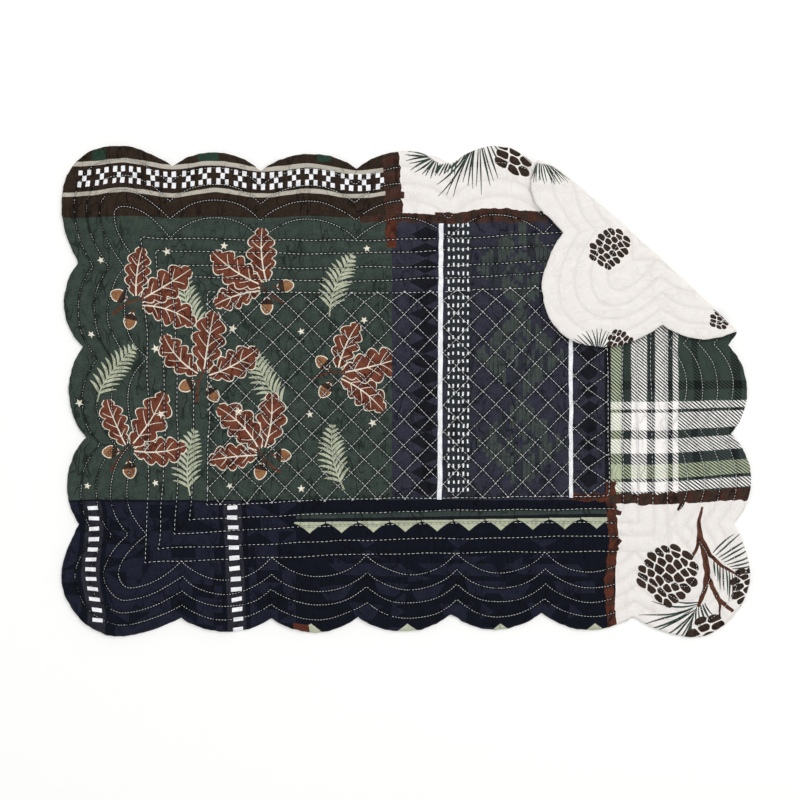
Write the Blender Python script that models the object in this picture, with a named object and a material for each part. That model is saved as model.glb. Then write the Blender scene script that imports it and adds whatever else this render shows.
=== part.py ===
"""A quilted placemat with scalloped edges and one corner folded over.

Two cloths, one inside the other: the printed front with its filling, and the
printed back. Both are first laid out flat in millimetres, centred on the mat,
then the upper right corner is turned over along a rounded fold.
"""

import math

import bpy
from mathutils import Matrix, Vector
from mathutils.geometry import delaunay_2d_cdt, intersect_line_line_2d

MM = 0.001

FRONT_COLOUR = (0.035, 0.055, 0.045)
BACK_COLOUR = (0.80, 0.78, 0.74)
ROUGHNESS = 0.85

# Edge of the mat: one row per scallop, going round from the lower left.
# rise is how far the scallop stands out from the line between its two notches,
# and slip how far the notch of the stitched rows has moved along the side.
# The four corner scallops have no rise here; their shape is in CORNERS.
NOTCHES = (
    # side, notch x, notch y, rise of the scallop that follows, slip
    ("bottom", -158.2, -158.4, 9.8, 0.7),
    ("bottom", -94.9, -158.8, 10.4, 0.0),
    ("bottom", -34.0, -157.9, 11.2, 5.8),
    ("bottom", 30.5, -155.8, 11.4, 6.8),
    ("bottom", 94.2, -154.6, 11.1, 3.5),
    ("bottom", 157.9, -157.2, 0.0, 2.0),
    ("right", 228.9, -92.4, 13.4, -1.0),
    ("right", 226.6, -29.4, 12.6, 2.0),
    ("right", 224.9, 32.6, 12.6, 1.0),
    ("right", 225.4, 98.1, 0.0, 0.0),
    ("top", 154.0, 160.4, 11.5, 2.0),
    ("top", 91.0, 160.0, 12.5, 4.2),
    ("top", 30.8, 158.6, 11.0, -1.0),
    ("top", -35.0, 156.2, 11.2, -1.0),
    ("top", -102.2, 154.6, 11.5, 0.0),
    ("top", -164.5, 157.6, 0.0, -1.4),
    ("left", -230.3, 90.0, 11.5, -3.0),
    ("left", -227.0, 31.2, 11.0, -8.0),
    ("left", -224.9, -32.2, 10.8, -5.0),
    ("left", -229.6, -93.1, 0.0, -7.0),
)

# Corner scallops, in the order they are met: the two outermost points of each,
# on the edge of the mat and on the innermost of the four echo rows, and how
# square the corner between them is (2 is an ellipse).
CORNERS = (
    # edge first x, y, second x, y, row first x, y, second x, y, squareness
    (200.9, -172.2, 240.5, -128.5, 195.0, -137.0, 203.0, -125.0, 1.78),
    (236.6, 131.0, 191.8, 178.2, 199.0, 125.0, 186.0, 133.0, 2.40),
    (-199.5, 172.2, -241.9, 127.8, -197.8, 129.4, -204.9, 123.5, 2.45),
    (-242.2, -130.5, -203.7, -171.5, -201.7, -127.8, -194.6, -137.4, 1.78),
)
FLANK_POWER = 1.75
INNER_RISE = 14.5

# Echo rows of stitches: how far each has come from the edge to the inner row.
ECHO_ROWS = (0.235, 0.485, 0.73, 1.0)

# Nested rectangles of stitches: corners from the lower left, anticlockwise,
# and how far the left and the top side sag inwards at their middles.
RECTANGLES = (
    # lower left, lower right, upper right, upper left, left sag, top sag
    ((-183.4, -120.0), (182.7, -112.4), (180.0, 116.6), (-186.5, 108.7), 3.8, 5.9),
    ((-174.1, -110.3), (172.6, -101.9), (170.1, 108.9), (-175.8, 99.5), 5.0, 6.5),
    ((-162.2, -99.8), (162.0, -92.0), (160.3, 96.3), (-165.6, 89.0), 3.3, 5.5),
    ((-151.5, -89.5), (151.7, -82.6), (150.5, 87.9), (-153.1, 80.2), 3.2, 5.6),
    ((-140.1, -79.1), (141.0, -72.8), (140.7, 76.7), (-140.1, 70.4), 1.4, 4.1),
)

# Diamond lattice inside the last rectangle: the width of a diamond, one of its
# crossings, how much the rows climb to the right, and how many there are.
LATTICE_PITCH = 18.4
LATTICE_X = -130.9
LATTICE_Y = -77.0
LATTICE_CLIMB = 0.02
LATTICE_COLUMNS = range(-2, 34)
LATTICE_ROWS = range(-3, 20)

# Heights above the table, in the flat part.
EDGE_TOP = 1.6
SHOULDER_TOP = 2.35
STITCH_TOP = 2.0
CREST_TOP = 3.2
DIAMOND_TOP = 3.3
BEND_TOP = 2.4
FRONT_INSIDE = 1.1
BACK_INSIDE = 0.8
BACK_EDGE = 0.25
BACK_TOP = 0.0

# The back puffs outwards only on the folded corner, where nothing presses it.
FLAP_CREST = -0.7
FLAP_STITCH = 0.3

# The fold: a line on the mat, the side that turns over, and its roundness.
FOLD_START = (108.2, 149.2)
FOLD_ALONG = (0.738, -0.675)
FOLD_OUT = (0.675, 0.738)
FOLD_LENGTH = 172.0
FOLD_BOW = 1.6
FOLD_RADIUS = 3.7
FOLD_SETTLE = 0.6
SETTLE_LENGTH = 14.0

# The band of the mat that is bent: lines across it and spacing along it.
FOLD_STEPS = 9
BAND_BEFORE = 2.0
BAND_AFTER = 3.0
BAND_MARGIN = 1.0
BAND_SPACING = 8.0
BAND_COUNT = range(-4, 26)

# How finely the faces are divided.
EDGE_STEPS = 12
ROW_STEPS = 7
CREST_STEPS = 6
RECTANGLE_SPACING = 11.0
CREST_SPACING = 13.0
SHOULDER = 1.8
PLAIN_GRID = 38.0
PLAIN_STEPS = range(-7, 8)
CELL = 8.0

# Least distances between points, so that no triangle is a sliver.
EDGE_GAP = 0.5
BAND_GAP = 1.2
ROW_GAP = 2.6
CROSSING_GAP = 3.0
CREST_GAP = 4.3
INSIDE_ONLY = 1
CDT_EPSILON = 1e-4
PLAIN_GAP = 7.0


def between(first, second, part):
    return (
        first[0] + (second[0] - first[0]) * part,
        first[1] + (second[1] - first[1]) * part,
    )


def scallop(first, second, rise, steps):
    """Points of a round arc from one notch towards the next."""
    chord = Vector(second) - Vector(first)
    outward = Vector((chord.y, -chord.x)).normalized()
    half = chord.length / 2
    radius = (half * half + rise * rise) / (2 * rise)
    points = []
    for step in range(steps):
        part = step / steps
        across = (part - 0.5) * chord.length
        height = math.sqrt(radius * radius - across * across) - (radius - rise)
        place = Vector(first) + chord * part + outward * height
        points.append((place.x, place.y))
    return points


def flank(notch, peak, flat_axis, steps):
    """Points from a notch up to an outermost point of a corner scallop."""
    points = []
    for step in range(steps):
        left = 1 - step / steps
        shape = left ** FLANK_POWER
        x = peak[0] + (notch[0] - peak[0]) * (left if flat_axis == 0 else shape)
        y = peak[1] + (notch[1] - peak[1]) * (shape if flat_axis == 0 else left)
        points.append((x, y))
    return points


def round_corner(first, second, squareness, steps):
    """Points of the rounded part between two outermost points."""
    level = abs(first[1]) > abs(second[1])
    if level:
        centre = (first[0], second[1])
    else:
        centre = (second[0], first[1])
    points = []
    for step in range(steps):
        angle = math.pi / 2 * step / steps
        near = math.cos(angle) ** (2 / squareness)
        far = math.sin(angle) ** (2 / squareness)
        x = centre[0] + (first[0] - centre[0]) * near
        y = centre[1] + (first[1] - centre[1]) * near
        x += (second[0] - centre[0]) * far
        y += (second[1] - centre[1]) * far
        points.append((x, y))
    return points


def corner_scallop(first, second, peaks, squareness, steps):
    """Points of a whole corner scallop, from notch towards notch."""
    level_first = abs(peaks[0][1]) > abs(peaks[1][1])
    way_in = flank(first, peaks[0], 0 if level_first else 1, steps // 2 + 1)
    bend = round_corner(peaks[0], peaks[1], squareness, steps // 2 + 2)
    way_out = flank(second, peaks[1], 1 if level_first else 0, steps // 2 + 1)
    way_out = [peaks[1]] + way_out[:0:-1]
    return way_in + bend + way_out


def sagging(rectangle, side, part):
    """A point on one side of a rectangle of stitches."""
    first = rectangle[side]
    second = rectangle[(side + 1) % 4]
    x, y = between(first, second, part)
    bow = 4 * part * (1 - part)
    if side == 3:
        x += rectangle[4] * bow
    if side == 2:
        y -= rectangle[5] * bow
    return x, y


def inner_notch(row):
    """Where the innermost echo row meets the outer rectangle."""
    side = ("bottom", "right", "top", "left").index(row[0])
    rectangle = RECTANGLES[0]
    first = rectangle[side]
    second = rectangle[(side + 1) % 4]
    axis = 0 if side in (0, 2) else 1
    part = (row[1 + axis] + row[4] - first[axis]) / (second[axis] - first[axis])
    return sagging(rectangle, side, part)


def notch(row, part):
    """The notch of a scalloped line that lies a part of the way in."""
    x, y = between(row[1:3], inner_notch(row), part)
    slipped = row[4] * (min(1.0, part / ECHO_ROWS[0]) - part)
    if row[0] in ("bottom", "top"):
        return x + slipped, y
    return x, y + slipped


def ring(part, steps, hollow=1.0):
    """The scalloped line that lies a part of the way in from the edge."""
    points = []
    corner = 0
    for number, row in enumerate(NOTCHES):
        after = NOTCHES[(number + 1) % len(NOTCHES)]
        first = notch(row, part)
        second = notch(after, part)
        if row[3]:
            rise = (row[3] + (INNER_RISE - row[3]) * part) * hollow
            points += scallop(first, second, rise, steps)
            continue
        spots = CORNERS[corner]
        corner += 1
        peaks = (
            between(spots[0:2], spots[4:6], part),
            between(spots[2:4], spots[6:8], part),
        )
        points += corner_scallop(first, second, peaks, spots[8], steps)
    return points


def rectangle_line(outer, inner, part, step_length):
    """A rectangle of stitches, or the crest between two of them."""
    points = []
    for side in range(4):
        length = math.dist(outer[side], outer[(side + 1) % 4])
        count = max(2, round(length / step_length))
        for step in range(count):
            first = sagging(outer, side, step / count)
            second = sagging(inner, side, step / count)
            points.append(between(first, second, part))
    return points


def past_fold(x, y):
    """Distance past the line where the cloth starts to turn, and along it."""
    dx = x - FOLD_START[0]
    dy = y - FOLD_START[1]
    along = dx * FOLD_ALONG[0] + dy * FOLD_ALONG[1]
    out = dx * FOLD_OUT[0] + dy * FOLD_OUT[1]
    part = min(1.0, max(0.0, along / FOLD_LENGTH))
    return out - FOLD_BOW * 4 * part * (1 - part), along


def on_mat(past, along):
    """The flat place of a distance past the fold and a distance along it."""
    part = min(1.0, max(0.0, along / FOLD_LENGTH))
    out = past + FOLD_BOW * 4 * part * (1 - part)
    x = FOLD_START[0] + FOLD_ALONG[0] * along + FOLD_OUT[0] * out
    y = FOLD_START[1] + FOLD_ALONG[1] * along + FOLD_OUT[1] * out
    return x, y


def band_end():
    return math.pi * FOLD_RADIUS


def in_band(x, y, margin=0.0):
    past = past_fold(x, y)[0]
    low = -BAND_BEFORE - margin
    return low < past < band_end() + BAND_AFTER + margin


def folded(x, y, height):
    """The place in space of a flat point at a height above the underside."""
    past, along = past_fold(x, y)
    if past <= 0:
        return Vector((x, y, height)) * MM
    if past < band_end():
        turn = past / FOLD_RADIUS
        out = FOLD_RADIUS * math.sin(turn)
        up = FOLD_RADIUS * (1 - math.cos(turn))
    else:
        turn = math.pi
        out = band_end() - past
        settled = 1 - math.exp(out / SETTLE_LENGTH)
        up = 2 * FOLD_RADIUS - FOLD_SETTLE * settled
    out -= height * math.sin(turn)
    up += height * math.cos(turn)
    place = on_mat(out, along)
    return Vector((place[0], place[1], up)) * MM


def new_plan():
    return {"points": [], "heights": [], "edges": [], "cells": {}, "near": {}}


def is_clear(plan, x, y, gap):
    column = math.floor(x / CELL)
    line = math.floor(y / CELL)
    for across in (-1, 0, 1):
        for up in (-1, 0, 1):
            for number in plan["cells"].get((column + across, line + up), ()):
                if math.dist(plan["points"][number], (x, y)) < gap:
                    return False
    return True


def add_point(plan, x, y, height):
    number = len(plan["points"])
    plan["points"].append((x, y))
    plan["heights"].append(height)
    cell = (math.floor(x / CELL), math.floor(y / CELL))
    plan["cells"].setdefault(cell, []).append(number)
    return number


def link(plan, first, second):
    """Joins two points of the plan unless the line would cut another one."""
    start = Vector(plan["points"][first])
    end = Vector(plan["points"][second])
    middle = (start + end) / 2
    column = math.floor(middle.x / CELL / 2)
    line = math.floor(middle.y / CELL / 2)
    for across in (-1, 0, 1):
        for up in (-1, 0, 1):
            for one, other in plan["near"].get((column + across, line + up), ()):
                if {one, other} & {first, second}:
                    continue
                left = Vector(plan["points"][one])
                right = Vector(plan["points"][other])
                if intersect_line_line_2d(start, end, left, right):
                    return
    plan["near"].setdefault((column, line), []).append((first, second))
    plan["edges"].append((first, second))


def add_line(plan, points, height, gap, closed=True):
    """Puts a line on the plan, left open where it runs into other points."""
    numbers = []
    for x, y in points:
        if in_band(x, y, BAND_MARGIN) or not is_clear(plan, x, y, gap):
            numbers.append(None)
        else:
            numbers.append(add_point(plan, x, y, height))
    if closed:
        numbers.append(numbers[0])
    for first, second in zip(numbers, numbers[1:]):
        if first is not None and second is not None:
            link(plan, first, second)


def fold_lines():
    """Distances past the fold of the lines that make its roundness."""
    lines = [-BAND_BEFORE]
    for step in range(FOLD_STEPS + 1):
        lines.append(band_end() * step / FOLD_STEPS)
    lines.append(band_end() + BAND_AFTER)
    return lines


def mat_edge():
    """The edge of the mat, with a point wherever it crosses a fold line."""
    plain = ring(0.0, EDGE_STEPS)
    points = []
    for number, first in enumerate(plain):
        second = plain[(number + 1) % len(plain)]
        points.append((first[0], first[1], False))
        start = past_fold(*first)[0]
        end = past_fold(*second)[0]
        crossed = [s for s in fold_lines() if min(start, end) < s < max(start, end)]
        crossed.sort(reverse=end < start)
        for line in crossed:
            part = (line - start) / (end - start)
            x, y = between(first, second, part)
            points.append((x, y, True))
    kept = []
    for number, (x, y, fixed) in enumerate(points):
        before = points[number - 1]
        after = points[(number + 1) % len(points)]
        near = min(math.dist((x, y), before[:2]), math.dist((x, y), after[:2]))
        if fixed or near > EDGE_GAP:
            kept.append((x, y))
    return kept


def inside(edge, x, y):
    odd = False
    for number, first in enumerate(edge):
        second = edge[number - 1]
        if (first[1] > y) != (second[1] > y):
            cut = first[0] + (second[0] - first[0]) * (y - first[1]) / (second[1] - first[1])
            if x < cut:
                odd = not odd
    return odd


def add_fold(plan, edge, height):
    """The lines of the fold, from edge to edge of the mat."""
    for line in fold_lines():
        before = None
        for step in BAND_COUNT:
            x, y = on_mat(line, step * BAND_SPACING)
            if not inside(edge, x, y) or not is_clear(plan, x, y, BAND_GAP):
                before = None
                continue
            number = add_point(plan, x, y, height)
            if before is not None:
                link(plan, before, number)
            before = number


def add_edge(plan, edge, height):
    for x, y in edge:
        add_point(plan, x, y, height)


def add_shoulder(plan, edge, height):
    """Points just inside the edge, where the cloth has its full thickness."""
    count = len(edge)
    for number in range(count):
        before = edge[number - 1]
        x, y = edge[number]
        after = edge[(number + 1) % count]
        inward = Vector((before[1] - after[1], after[0] - before[0])).normalized()
        x += inward.x * SHOULDER
        y += inward.y * SHOULDER
        if not in_band(x, y) and is_clear(plan, x, y, SHOULDER * 0.8):
            add_point(plan, x, y, height)


def add_rows(plan, low, high, wanted=None):
    """Echo rows and rectangles of stitches with the crests between them."""
    edges = (0.0,) + ECHO_ROWS
    for first, second in zip(edges, edges[1:]):
        add_chosen(plan, ring(second, ROW_STEPS), low, ROW_GAP, wanted)
        middle = ring((first + second) / 2, CREST_STEPS)
        add_chosen(plan, middle, high, ROW_GAP, wanted)
    for number, rectangle in enumerate(RECTANGLES):
        line = rectangle_line(rectangle, rectangle, 0, RECTANGLE_SPACING)
        add_chosen(plan, line, low, ROW_GAP, wanted)
        if number < len(RECTANGLES) - 1:
            following = RECTANGLES[number + 1]
            crest = rectangle_line(rectangle, following, 0.5, CREST_SPACING)
            add_chosen(plan, crest, high, ROW_GAP, wanted)
    lens = ring(1.0, CREST_STEPS, 0.5)
    add_chosen(plan, lens, high, CREST_GAP, wanted)


def add_chosen(plan, points, height, gap, wanted):
    """Puts on the plan only the stretches of a line that are wanted."""
    if wanted is None:
        add_line(plan, points, height, gap)
        return
    run = []
    for point in points:
        if wanted(*point):
            run.append(point)
            continue
        add_line(plan, run, height, gap, False)
        run = []
    add_line(plan, run, height, gap, False)


def add_lattice(plan, low, high):
    """Crossings of the diamond lattice and the crest of every diamond."""
    field = [sagging(RECTANGLES[-1], side, 0) for side in range(4)]
    half = LATTICE_PITCH / 2
    numbers = {}
    for column in LATTICE_COLUMNS:
        for line in LATTICE_ROWS:
            x = LATTICE_X + column * half
            y = LATTICE_Y + line * half + column * half * LATTICE_CLIMB
            crossing = (column + line) % 2 == 0
            height = low if crossing else high
            gap = CROSSING_GAP if crossing else CREST_GAP
            if inside(field, x, y) and is_clear(plan, x, y, gap):
                numbers[column, line] = add_point(plan, x, y, height)
    for (column, line), number in numbers.items():
        if (column + line) % 2:
            continue
        for other in ((column + 1, line + 1), (column + 1, line - 1)):
            if other in numbers:
                link(plan, number, numbers[other])


def add_plain(plan, edge, height):
    """A few far apart points for a face that is flat."""
    for column in PLAIN_STEPS:
        for line in PLAIN_STEPS:
            x = column * PLAIN_GRID
            y = line * PLAIN_GRID
            far = is_clear(plan, x, y, PLAIN_GAP)
            if inside(edge, x, y) and far and not in_band(x, y, BAND_MARGIN):
                add_point(plan, x, y, height)


def triangles(plan, edge_count):
    """Flat triangles of a plan, with the height of each corner."""
    outline = list(range(edge_count))
    points = [Vector(point) for point in plan["points"]]
    cut = delaunay_2d_cdt(points, plan["edges"], [outline], INSIDE_ONLY, CDT_EPSILON)
    heights = []
    for sources in cut[3]:
        heights.append(plan["heights"][sources[0]] if sources else STITCH_TOP)
    where = {}
    for number, sources in enumerate(cut[3]):
        for source in sources:
            where[source] = number
    rim = [where[number] for number in outline]
    return cut[0], cut[2], heights, rim


def cloth(name, upper, lower, edge_count, colour):
    """A closed cloth between two plans that share their edge."""
    vertices = []
    faces = []
    rims = []
    for plan, flip in ((upper, False), (lower, True)):
        flat, cut, heights, rim = triangles(plan, edge_count)
        start = len(vertices)
        for point, height in zip(flat, heights):
            vertices.append(folded(point.x, point.y, height))
        for face in cut:
            corners = [start + number for number in face]
            faces.append(corners[::-1] if flip else corners)
        rims.append([start + number for number in rim])
    for number in range(edge_count):
        after = (number + 1) % edge_count
        above, below = rims
        faces.append((above[number], below[number], below[after]))
        faces.append((above[number], below[after], above[after]))
    mesh = bpy.data.meshes.new(name)
    mesh.from_pydata(vertices, [], faces)
    mesh.validate()
    for polygon in mesh.polygons:
        polygon.use_smooth = True
    mesh.materials.append(fabric(name, colour))
    piece = bpy.data.objects.new(name, mesh)
    bpy.context.scene.collection.objects.link(piece)
    return piece


def fabric(name, colour):
    material = bpy.data.materials.new(name + "_cotton")
    material.use_nodes = True
    shader = material.node_tree.nodes["Principled BSDF"]
    shader.inputs["Base Color"].default_value = (*colour, 1)
    shader.inputs["Roughness"].default_value = ROUGHNESS
    return material


def on_flap(x, y):
    return past_fold(x, y)[0] > band_end() + BAND_AFTER


def smooth_face(edge, height):
    """A plan of the hidden side of a cloth."""
    plan = new_plan()
    add_edge(plan, edge, height)
    add_fold(plan, edge, height)
    add_plain(plan, edge, height)
    return plan


def build_front(edge):
    face = new_plan()
    add_edge(face, edge, EDGE_TOP)
    add_shoulder(face, edge, SHOULDER_TOP)
    add_fold(face, edge, BEND_TOP)
    add_rows(face, STITCH_TOP, CREST_TOP)
    add_lattice(face, STITCH_TOP, DIAMOND_TOP)
    inner = smooth_face(edge, FRONT_INSIDE)
    return cloth("quilted_front", face, inner, len(edge), FRONT_COLOUR)


def build_back(edge):
    face = new_plan()
    add_edge(face, edge, BACK_EDGE)
    add_shoulder(face, edge, BACK_TOP)
    add_fold(face, edge, BACK_TOP)
    add_rows(face, FLAP_STITCH, FLAP_CREST, on_flap)
    add_plain(face, edge, BACK_TOP)
    inner = smooth_face(edge, BACK_INSIDE)
    return cloth("printed_back", inner, face, len(edge), BACK_COLOUR)


def centre(pieces):
    """Moves the pieces so that the middle of their box is the origin."""
    places = [vertex.co for piece in pieces for vertex in piece.data.vertices]
    middle = Vector((0, 0, 0))
    for axis in (0, 1):
        values = [place[axis] for place in places]
        middle[axis] = (min(values) + max(values)) / 2
    for piece in pieces:
        piece.data.transform(Matrix.Translation(-middle))
    print("middle moved by mm", tuple(round(v / MM, 3) for v in middle))


def main():
    for old in list(bpy.data.objects):
        bpy.data.objects.remove(old, do_unlink=True)
    edge = mat_edge()
    centre([build_front(edge), build_back(edge)])


main()
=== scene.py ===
# A quilted cotton placemat seen from straight above, its upper right corner folded over.
# The two cloths, their print and the stitches are laid out on a flat plan in millimetres,
# raised into quilting and then turned over the fold.
import math
import random

import bpy
import numpy as np
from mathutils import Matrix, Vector, kdtree, noise
from mathutils.geometry import delaunay_2d_cdt


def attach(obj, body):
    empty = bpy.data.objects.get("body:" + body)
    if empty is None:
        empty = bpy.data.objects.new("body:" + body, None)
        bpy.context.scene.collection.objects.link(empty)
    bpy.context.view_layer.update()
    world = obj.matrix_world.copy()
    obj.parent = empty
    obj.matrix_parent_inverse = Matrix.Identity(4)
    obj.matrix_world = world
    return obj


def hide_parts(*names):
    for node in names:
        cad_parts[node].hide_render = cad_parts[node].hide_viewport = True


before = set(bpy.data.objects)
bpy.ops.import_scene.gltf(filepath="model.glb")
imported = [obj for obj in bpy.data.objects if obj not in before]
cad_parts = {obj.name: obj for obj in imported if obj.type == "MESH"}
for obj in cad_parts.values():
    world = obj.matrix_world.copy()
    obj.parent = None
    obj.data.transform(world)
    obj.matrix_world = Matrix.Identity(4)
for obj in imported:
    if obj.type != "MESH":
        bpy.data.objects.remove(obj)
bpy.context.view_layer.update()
mm = 0.001

# The flat mat. The solids have the same one, but their rectangles are straight below and
# two of their lower notches slip further.
matPlan = {
    "middleShift": 0.529,  # from the plan's middle to the frame's origin, along x
    "echoRows": (0.235, 0.485, 0.73, 1.0),  # rows of stitches, from the edge inwards
    "innerRise": 14.5,
    "flankPower": 1.75,
    # side, notch x, notch y, rise of the scallop that follows, slip of the stitched rows
    "notches": (
        ("bottom", -158.2, -158.4, 9.8, 0.7),
        ("bottom", -94.9, -158.8, 10.4, 0.0),
        ("bottom", -34.0, -157.9, 11.2, 5.8),
        ("bottom", 30.5, -155.8, 11.4, 4.2),
        ("bottom", 94.2, -154.6, 11.1, 2.6),
        ("bottom", 157.9, -157.2, 0.0, 2.0),
        ("right", 228.9, -92.4, 13.4, -1.0),
        ("right", 226.6, -29.4, 12.6, 2.0),
        ("right", 224.9, 32.6, 12.6, 1.0),
        ("right", 225.4, 98.1, 0.0, 0.0),
        ("top", 154.0, 160.4, 11.5, 2.0),
        ("top", 91.0, 160.0, 12.5, 4.2),
        ("top", 30.8, 158.6, 11.0, -1.0),
        ("top", -35.0, 156.2, 11.2, -1.0),
        ("top", -102.2, 154.6, 11.5, 0.0),
        ("top", -164.5, 157.6, 0.0, -1.4),
        ("left", -230.3, 90.0, 11.5, -3.0),
        ("left", -227.0, 31.2, 11.0, -8.0),
        ("left", -224.9, -32.2, 10.8, -5.0),
        ("left", -229.6, -93.1, 0.0, -7.0),
    ),
    # two outermost points of a corner on the edge and on the inner row, and its squareness
    "corners": (
        (200.9, -172.2, 240.5, -128.5, 195.0, -137.0, 203.0, -125.0, 1.78),
        (236.6, 131.0, 191.8, 178.2, 199.0, 125.0, 186.0, 133.0, 2.40),
        (-199.5, 172.2, -241.9, 127.8, -197.8, 129.4, -204.9, 123.5, 2.45),
        (-242.2, -130.5, -203.7, -171.5, -201.7, -127.8, -194.6, -137.4, 1.78),
    ),
    # corners from the lower left, and how far the left, top and lower sides bow inwards
    "rectangles": (
        ((-183.4, -120.0), (182.7, -112.4), (180.0, 116.6), (-186.5, 108.7), 3.8, 5.9, 2.7),
        ((-174.1, -110.3), (172.6, -101.9), (170.1, 108.9), (-175.8, 99.5), 5.0, 6.5, 3.0),
        ((-162.2, -99.8), (162.0, -92.0), (160.3, 96.3), (-165.6, 89.0), 3.3, 5.5, 3.0),
        ((-151.5, -89.5), (151.7, -82.6), (150.5, 87.9), (-153.1, 80.2), 3.2, 5.6, 2.0),
        ((-140.1, -79.1), (141.0, -72.8), (140.7, 76.7), (-140.1, 70.4), 1.4, 4.1, 1.1),
    ),
    "latticePitch": 18.4,
    "latticeAt": (-130.9, -77.0),
    "latticeClimb": 0.02,
    "latticeColumns": (-1, 29),
    "latticeRows": (0, 16),
    "lineSpacing": 2.0,
    # how a hand guides each kind of line, and how the turned edge waves: how far, wave, seed
    "echoSway": (1.0, 21, 0),
    "rectangleSway": (1.2, 26, 10),
    "latticeSway": (0.7, 24, 20),
    "edgeWaves": ((0.5, 9, 60), (0.45, 3.4, 61)),
}

# The corner that is turned over.
fold = {
    "start": (108.2, 149.2),
    "along": (0.738, -0.675),
    "outward": (0.675, 0.738),
    "length": 172.0,
    "bow": 1.6,
    "radius": 3.7,
    "settle": 0.6,
    "settleLength": 14.0,
    "wave": 1.1,  # how far the loose corner lifts in soft waves
    "waveLength": 55.0,
    "waveShift": 0.35,
    "waveGrows": (6, 45),  # where past the bend the waves set in and are full
    "reach": 1.042,  # the flap relaxes outwards
    # At its upper end, up to startAt along it, the flap reaches and slides further. The bend
    # is drawn in towards the very end.
    "startAt": -8,
    "startSpread": 14.0,
    "startReach": 0.4,
    "startSlide": 5.0,
    "slideGrows": (-6, 14),
    "startDrop": 5.5,
    "dropLength": 22,
    "dropGrows": (-9, 4),
}

# The deepest creases between the stitches, where the photo has them: two ends and a depth.
creases = {
    "halfWidth": 1.05,
    "deepen": 1.45,
    "sway": 0.9,
    "swayTurn": 5.5,
    "ridge": 0.35,  # a low ridge beside each trough, so many half widths away
    "ridgeAt": 2.3,
    "placed": (
        (-131.5, 114, -130, 95, 0.5), (-149, 122, -148, 106, 0.42), (-110, 133, -105.5, 121, 0.42),
        (-97.5, 110, -95, 84, 0.5), (-72, 140, -70.5, 118, 0.42), (-59.5, 112, -57, 90, 0.45),
        (-43, 126, -44.5, 103, 0.4), (-28, 52, -26.5, -15, 0.45), (-121, 101, -112, 92, 0.4),
        (-187, 100, -186, 72, 0.35), (-203, 62, -195, 56, 0.4), (-76.8, 30, -78.5, -8, 0.4),
        (-54, 12, -52.5, -30, 0.4), (-100.5, -34, -99, -66, 0.42), (3.5, 104, 2, 72, 0.5),
        (12.5, 60, 14, 18, 0.45), (59, 112, 55.5, 88, 0.48), (66, 20, 64.5, -26, 0.4),
        (96, 44, 98.5, 2, 0.42), (128, -8, 126, -46, 0.45), (-77, -80, -76, -104, 0.45),
        (-21, -96, -22.5, -121, 0.42), (25, -100, 24, -128, 0.42), (86, -98, 88, -131, 0.45),
        (-148, -96, -150, -124, 0.42), (-188, -104, -184, -131, 0.4), (51, -136, 49, -158, 0.4),
        (-44, -136, -46, -156, 0.42), (186, -86, 189, -101, 0.35), (217, 22, 215, 4, 0.38),
        (60, 136, 62, 148, 0.35), (89, 124, 90.5, 146, 0.4),
    ),
}

# Heights above the table, and how the cloth puffs between the stitches.
quilting = {
    "stitchTop": 1.75,
    "crestTop": 3.3,
    "rimHeight": 1.0,
    "rimRound": 1.9,
    "pillow": 0.85,
    "channelHalf": 5.0,
    "diamondHalf": 6.5,
    "crestVaries": 0.35,
    "crestPatch": 17.0,
    "pucker": 0.42,  # small creases that the thread pulls across each channel
    "puckerLength": 4.2,
    "puckerDrawn": 2.6,  # how much longer across the thread than along it
    "puckerFades": (1.4, 3.9),
    "puckerAtThread": 0.35,
    "clearOfThread": 1.2,
    "crumple": 0.3,
    "crumpleLength": 5.5,
    "backStitch": 0.35,
    "backFlat": 0.02,
    "backCrest": -0.5,
    "backRimRound": 6.0,
    "backRimGrows": 12,
    "backGrows": (-2, 8),  # about the end of the bend the back begins to puff
    "dimpleReach": 1.4,
}

meshing = {
    "outline": 1.6,
    "cloth": 1.95,
    "underside": 3.0,
    "bend": 0.8,
    "bendAlong": 1.5,
    "bendSpan": (-2.4, 3.2),  # from before the bend to past its end
    "bendReach": (-20, 215),
    "print": 1.9,
    "alongLines": 1.6,
    "stitchRow": 0.9,  # rows of points beside a stitched line
    "creaseRow": 1.1,
    "edgeRows": (0.3, 0.9, 1.8),  # rows of points inside the edge
    "threadLine": 0.8,
    # how far points keep from each other, from the edge and from those laid before them
    "gaps": {
        "edge": 0.45, "edgeToRim": 0.22, "bend": 0.5, "line": 0.55, "lineToOthers": 0.6,
        "gridToRim": 1.2, "gridShare": 0.55,
    },
}


def between(first, second, part):
    return tuple(a + (b - a) * part for a, b in zip(first, second))


def scallopArc(first, second, rise, steps):
    chord = Vector(second) - Vector(first)
    outward = Vector((chord.y, -chord.x)).normalized()
    half = chord.length / 2
    radius = (half * half + rise * rise) / (2 * rise)
    points = []
    for step in range(steps):
        across = (step / steps - 0.5) * chord.length
        height = math.sqrt(radius * radius - across * across) - (radius - rise)
        points.append(tuple(Vector(first) + chord * (step / steps) + outward * height))
    return points


def cornerFlank(notchPoint, peak, levelAxis, steps):
    points = []
    for step in range(steps):
        left = 1 - step / steps
        shape = left ** matPlan["flankPower"]
        x = peak[0] + (notchPoint[0] - peak[0]) * (left if levelAxis == 0 else shape)
        y = peak[1] + (notchPoint[1] - peak[1]) * (shape if levelAxis == 0 else left)
        points.append((x, y))
    return points


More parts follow.
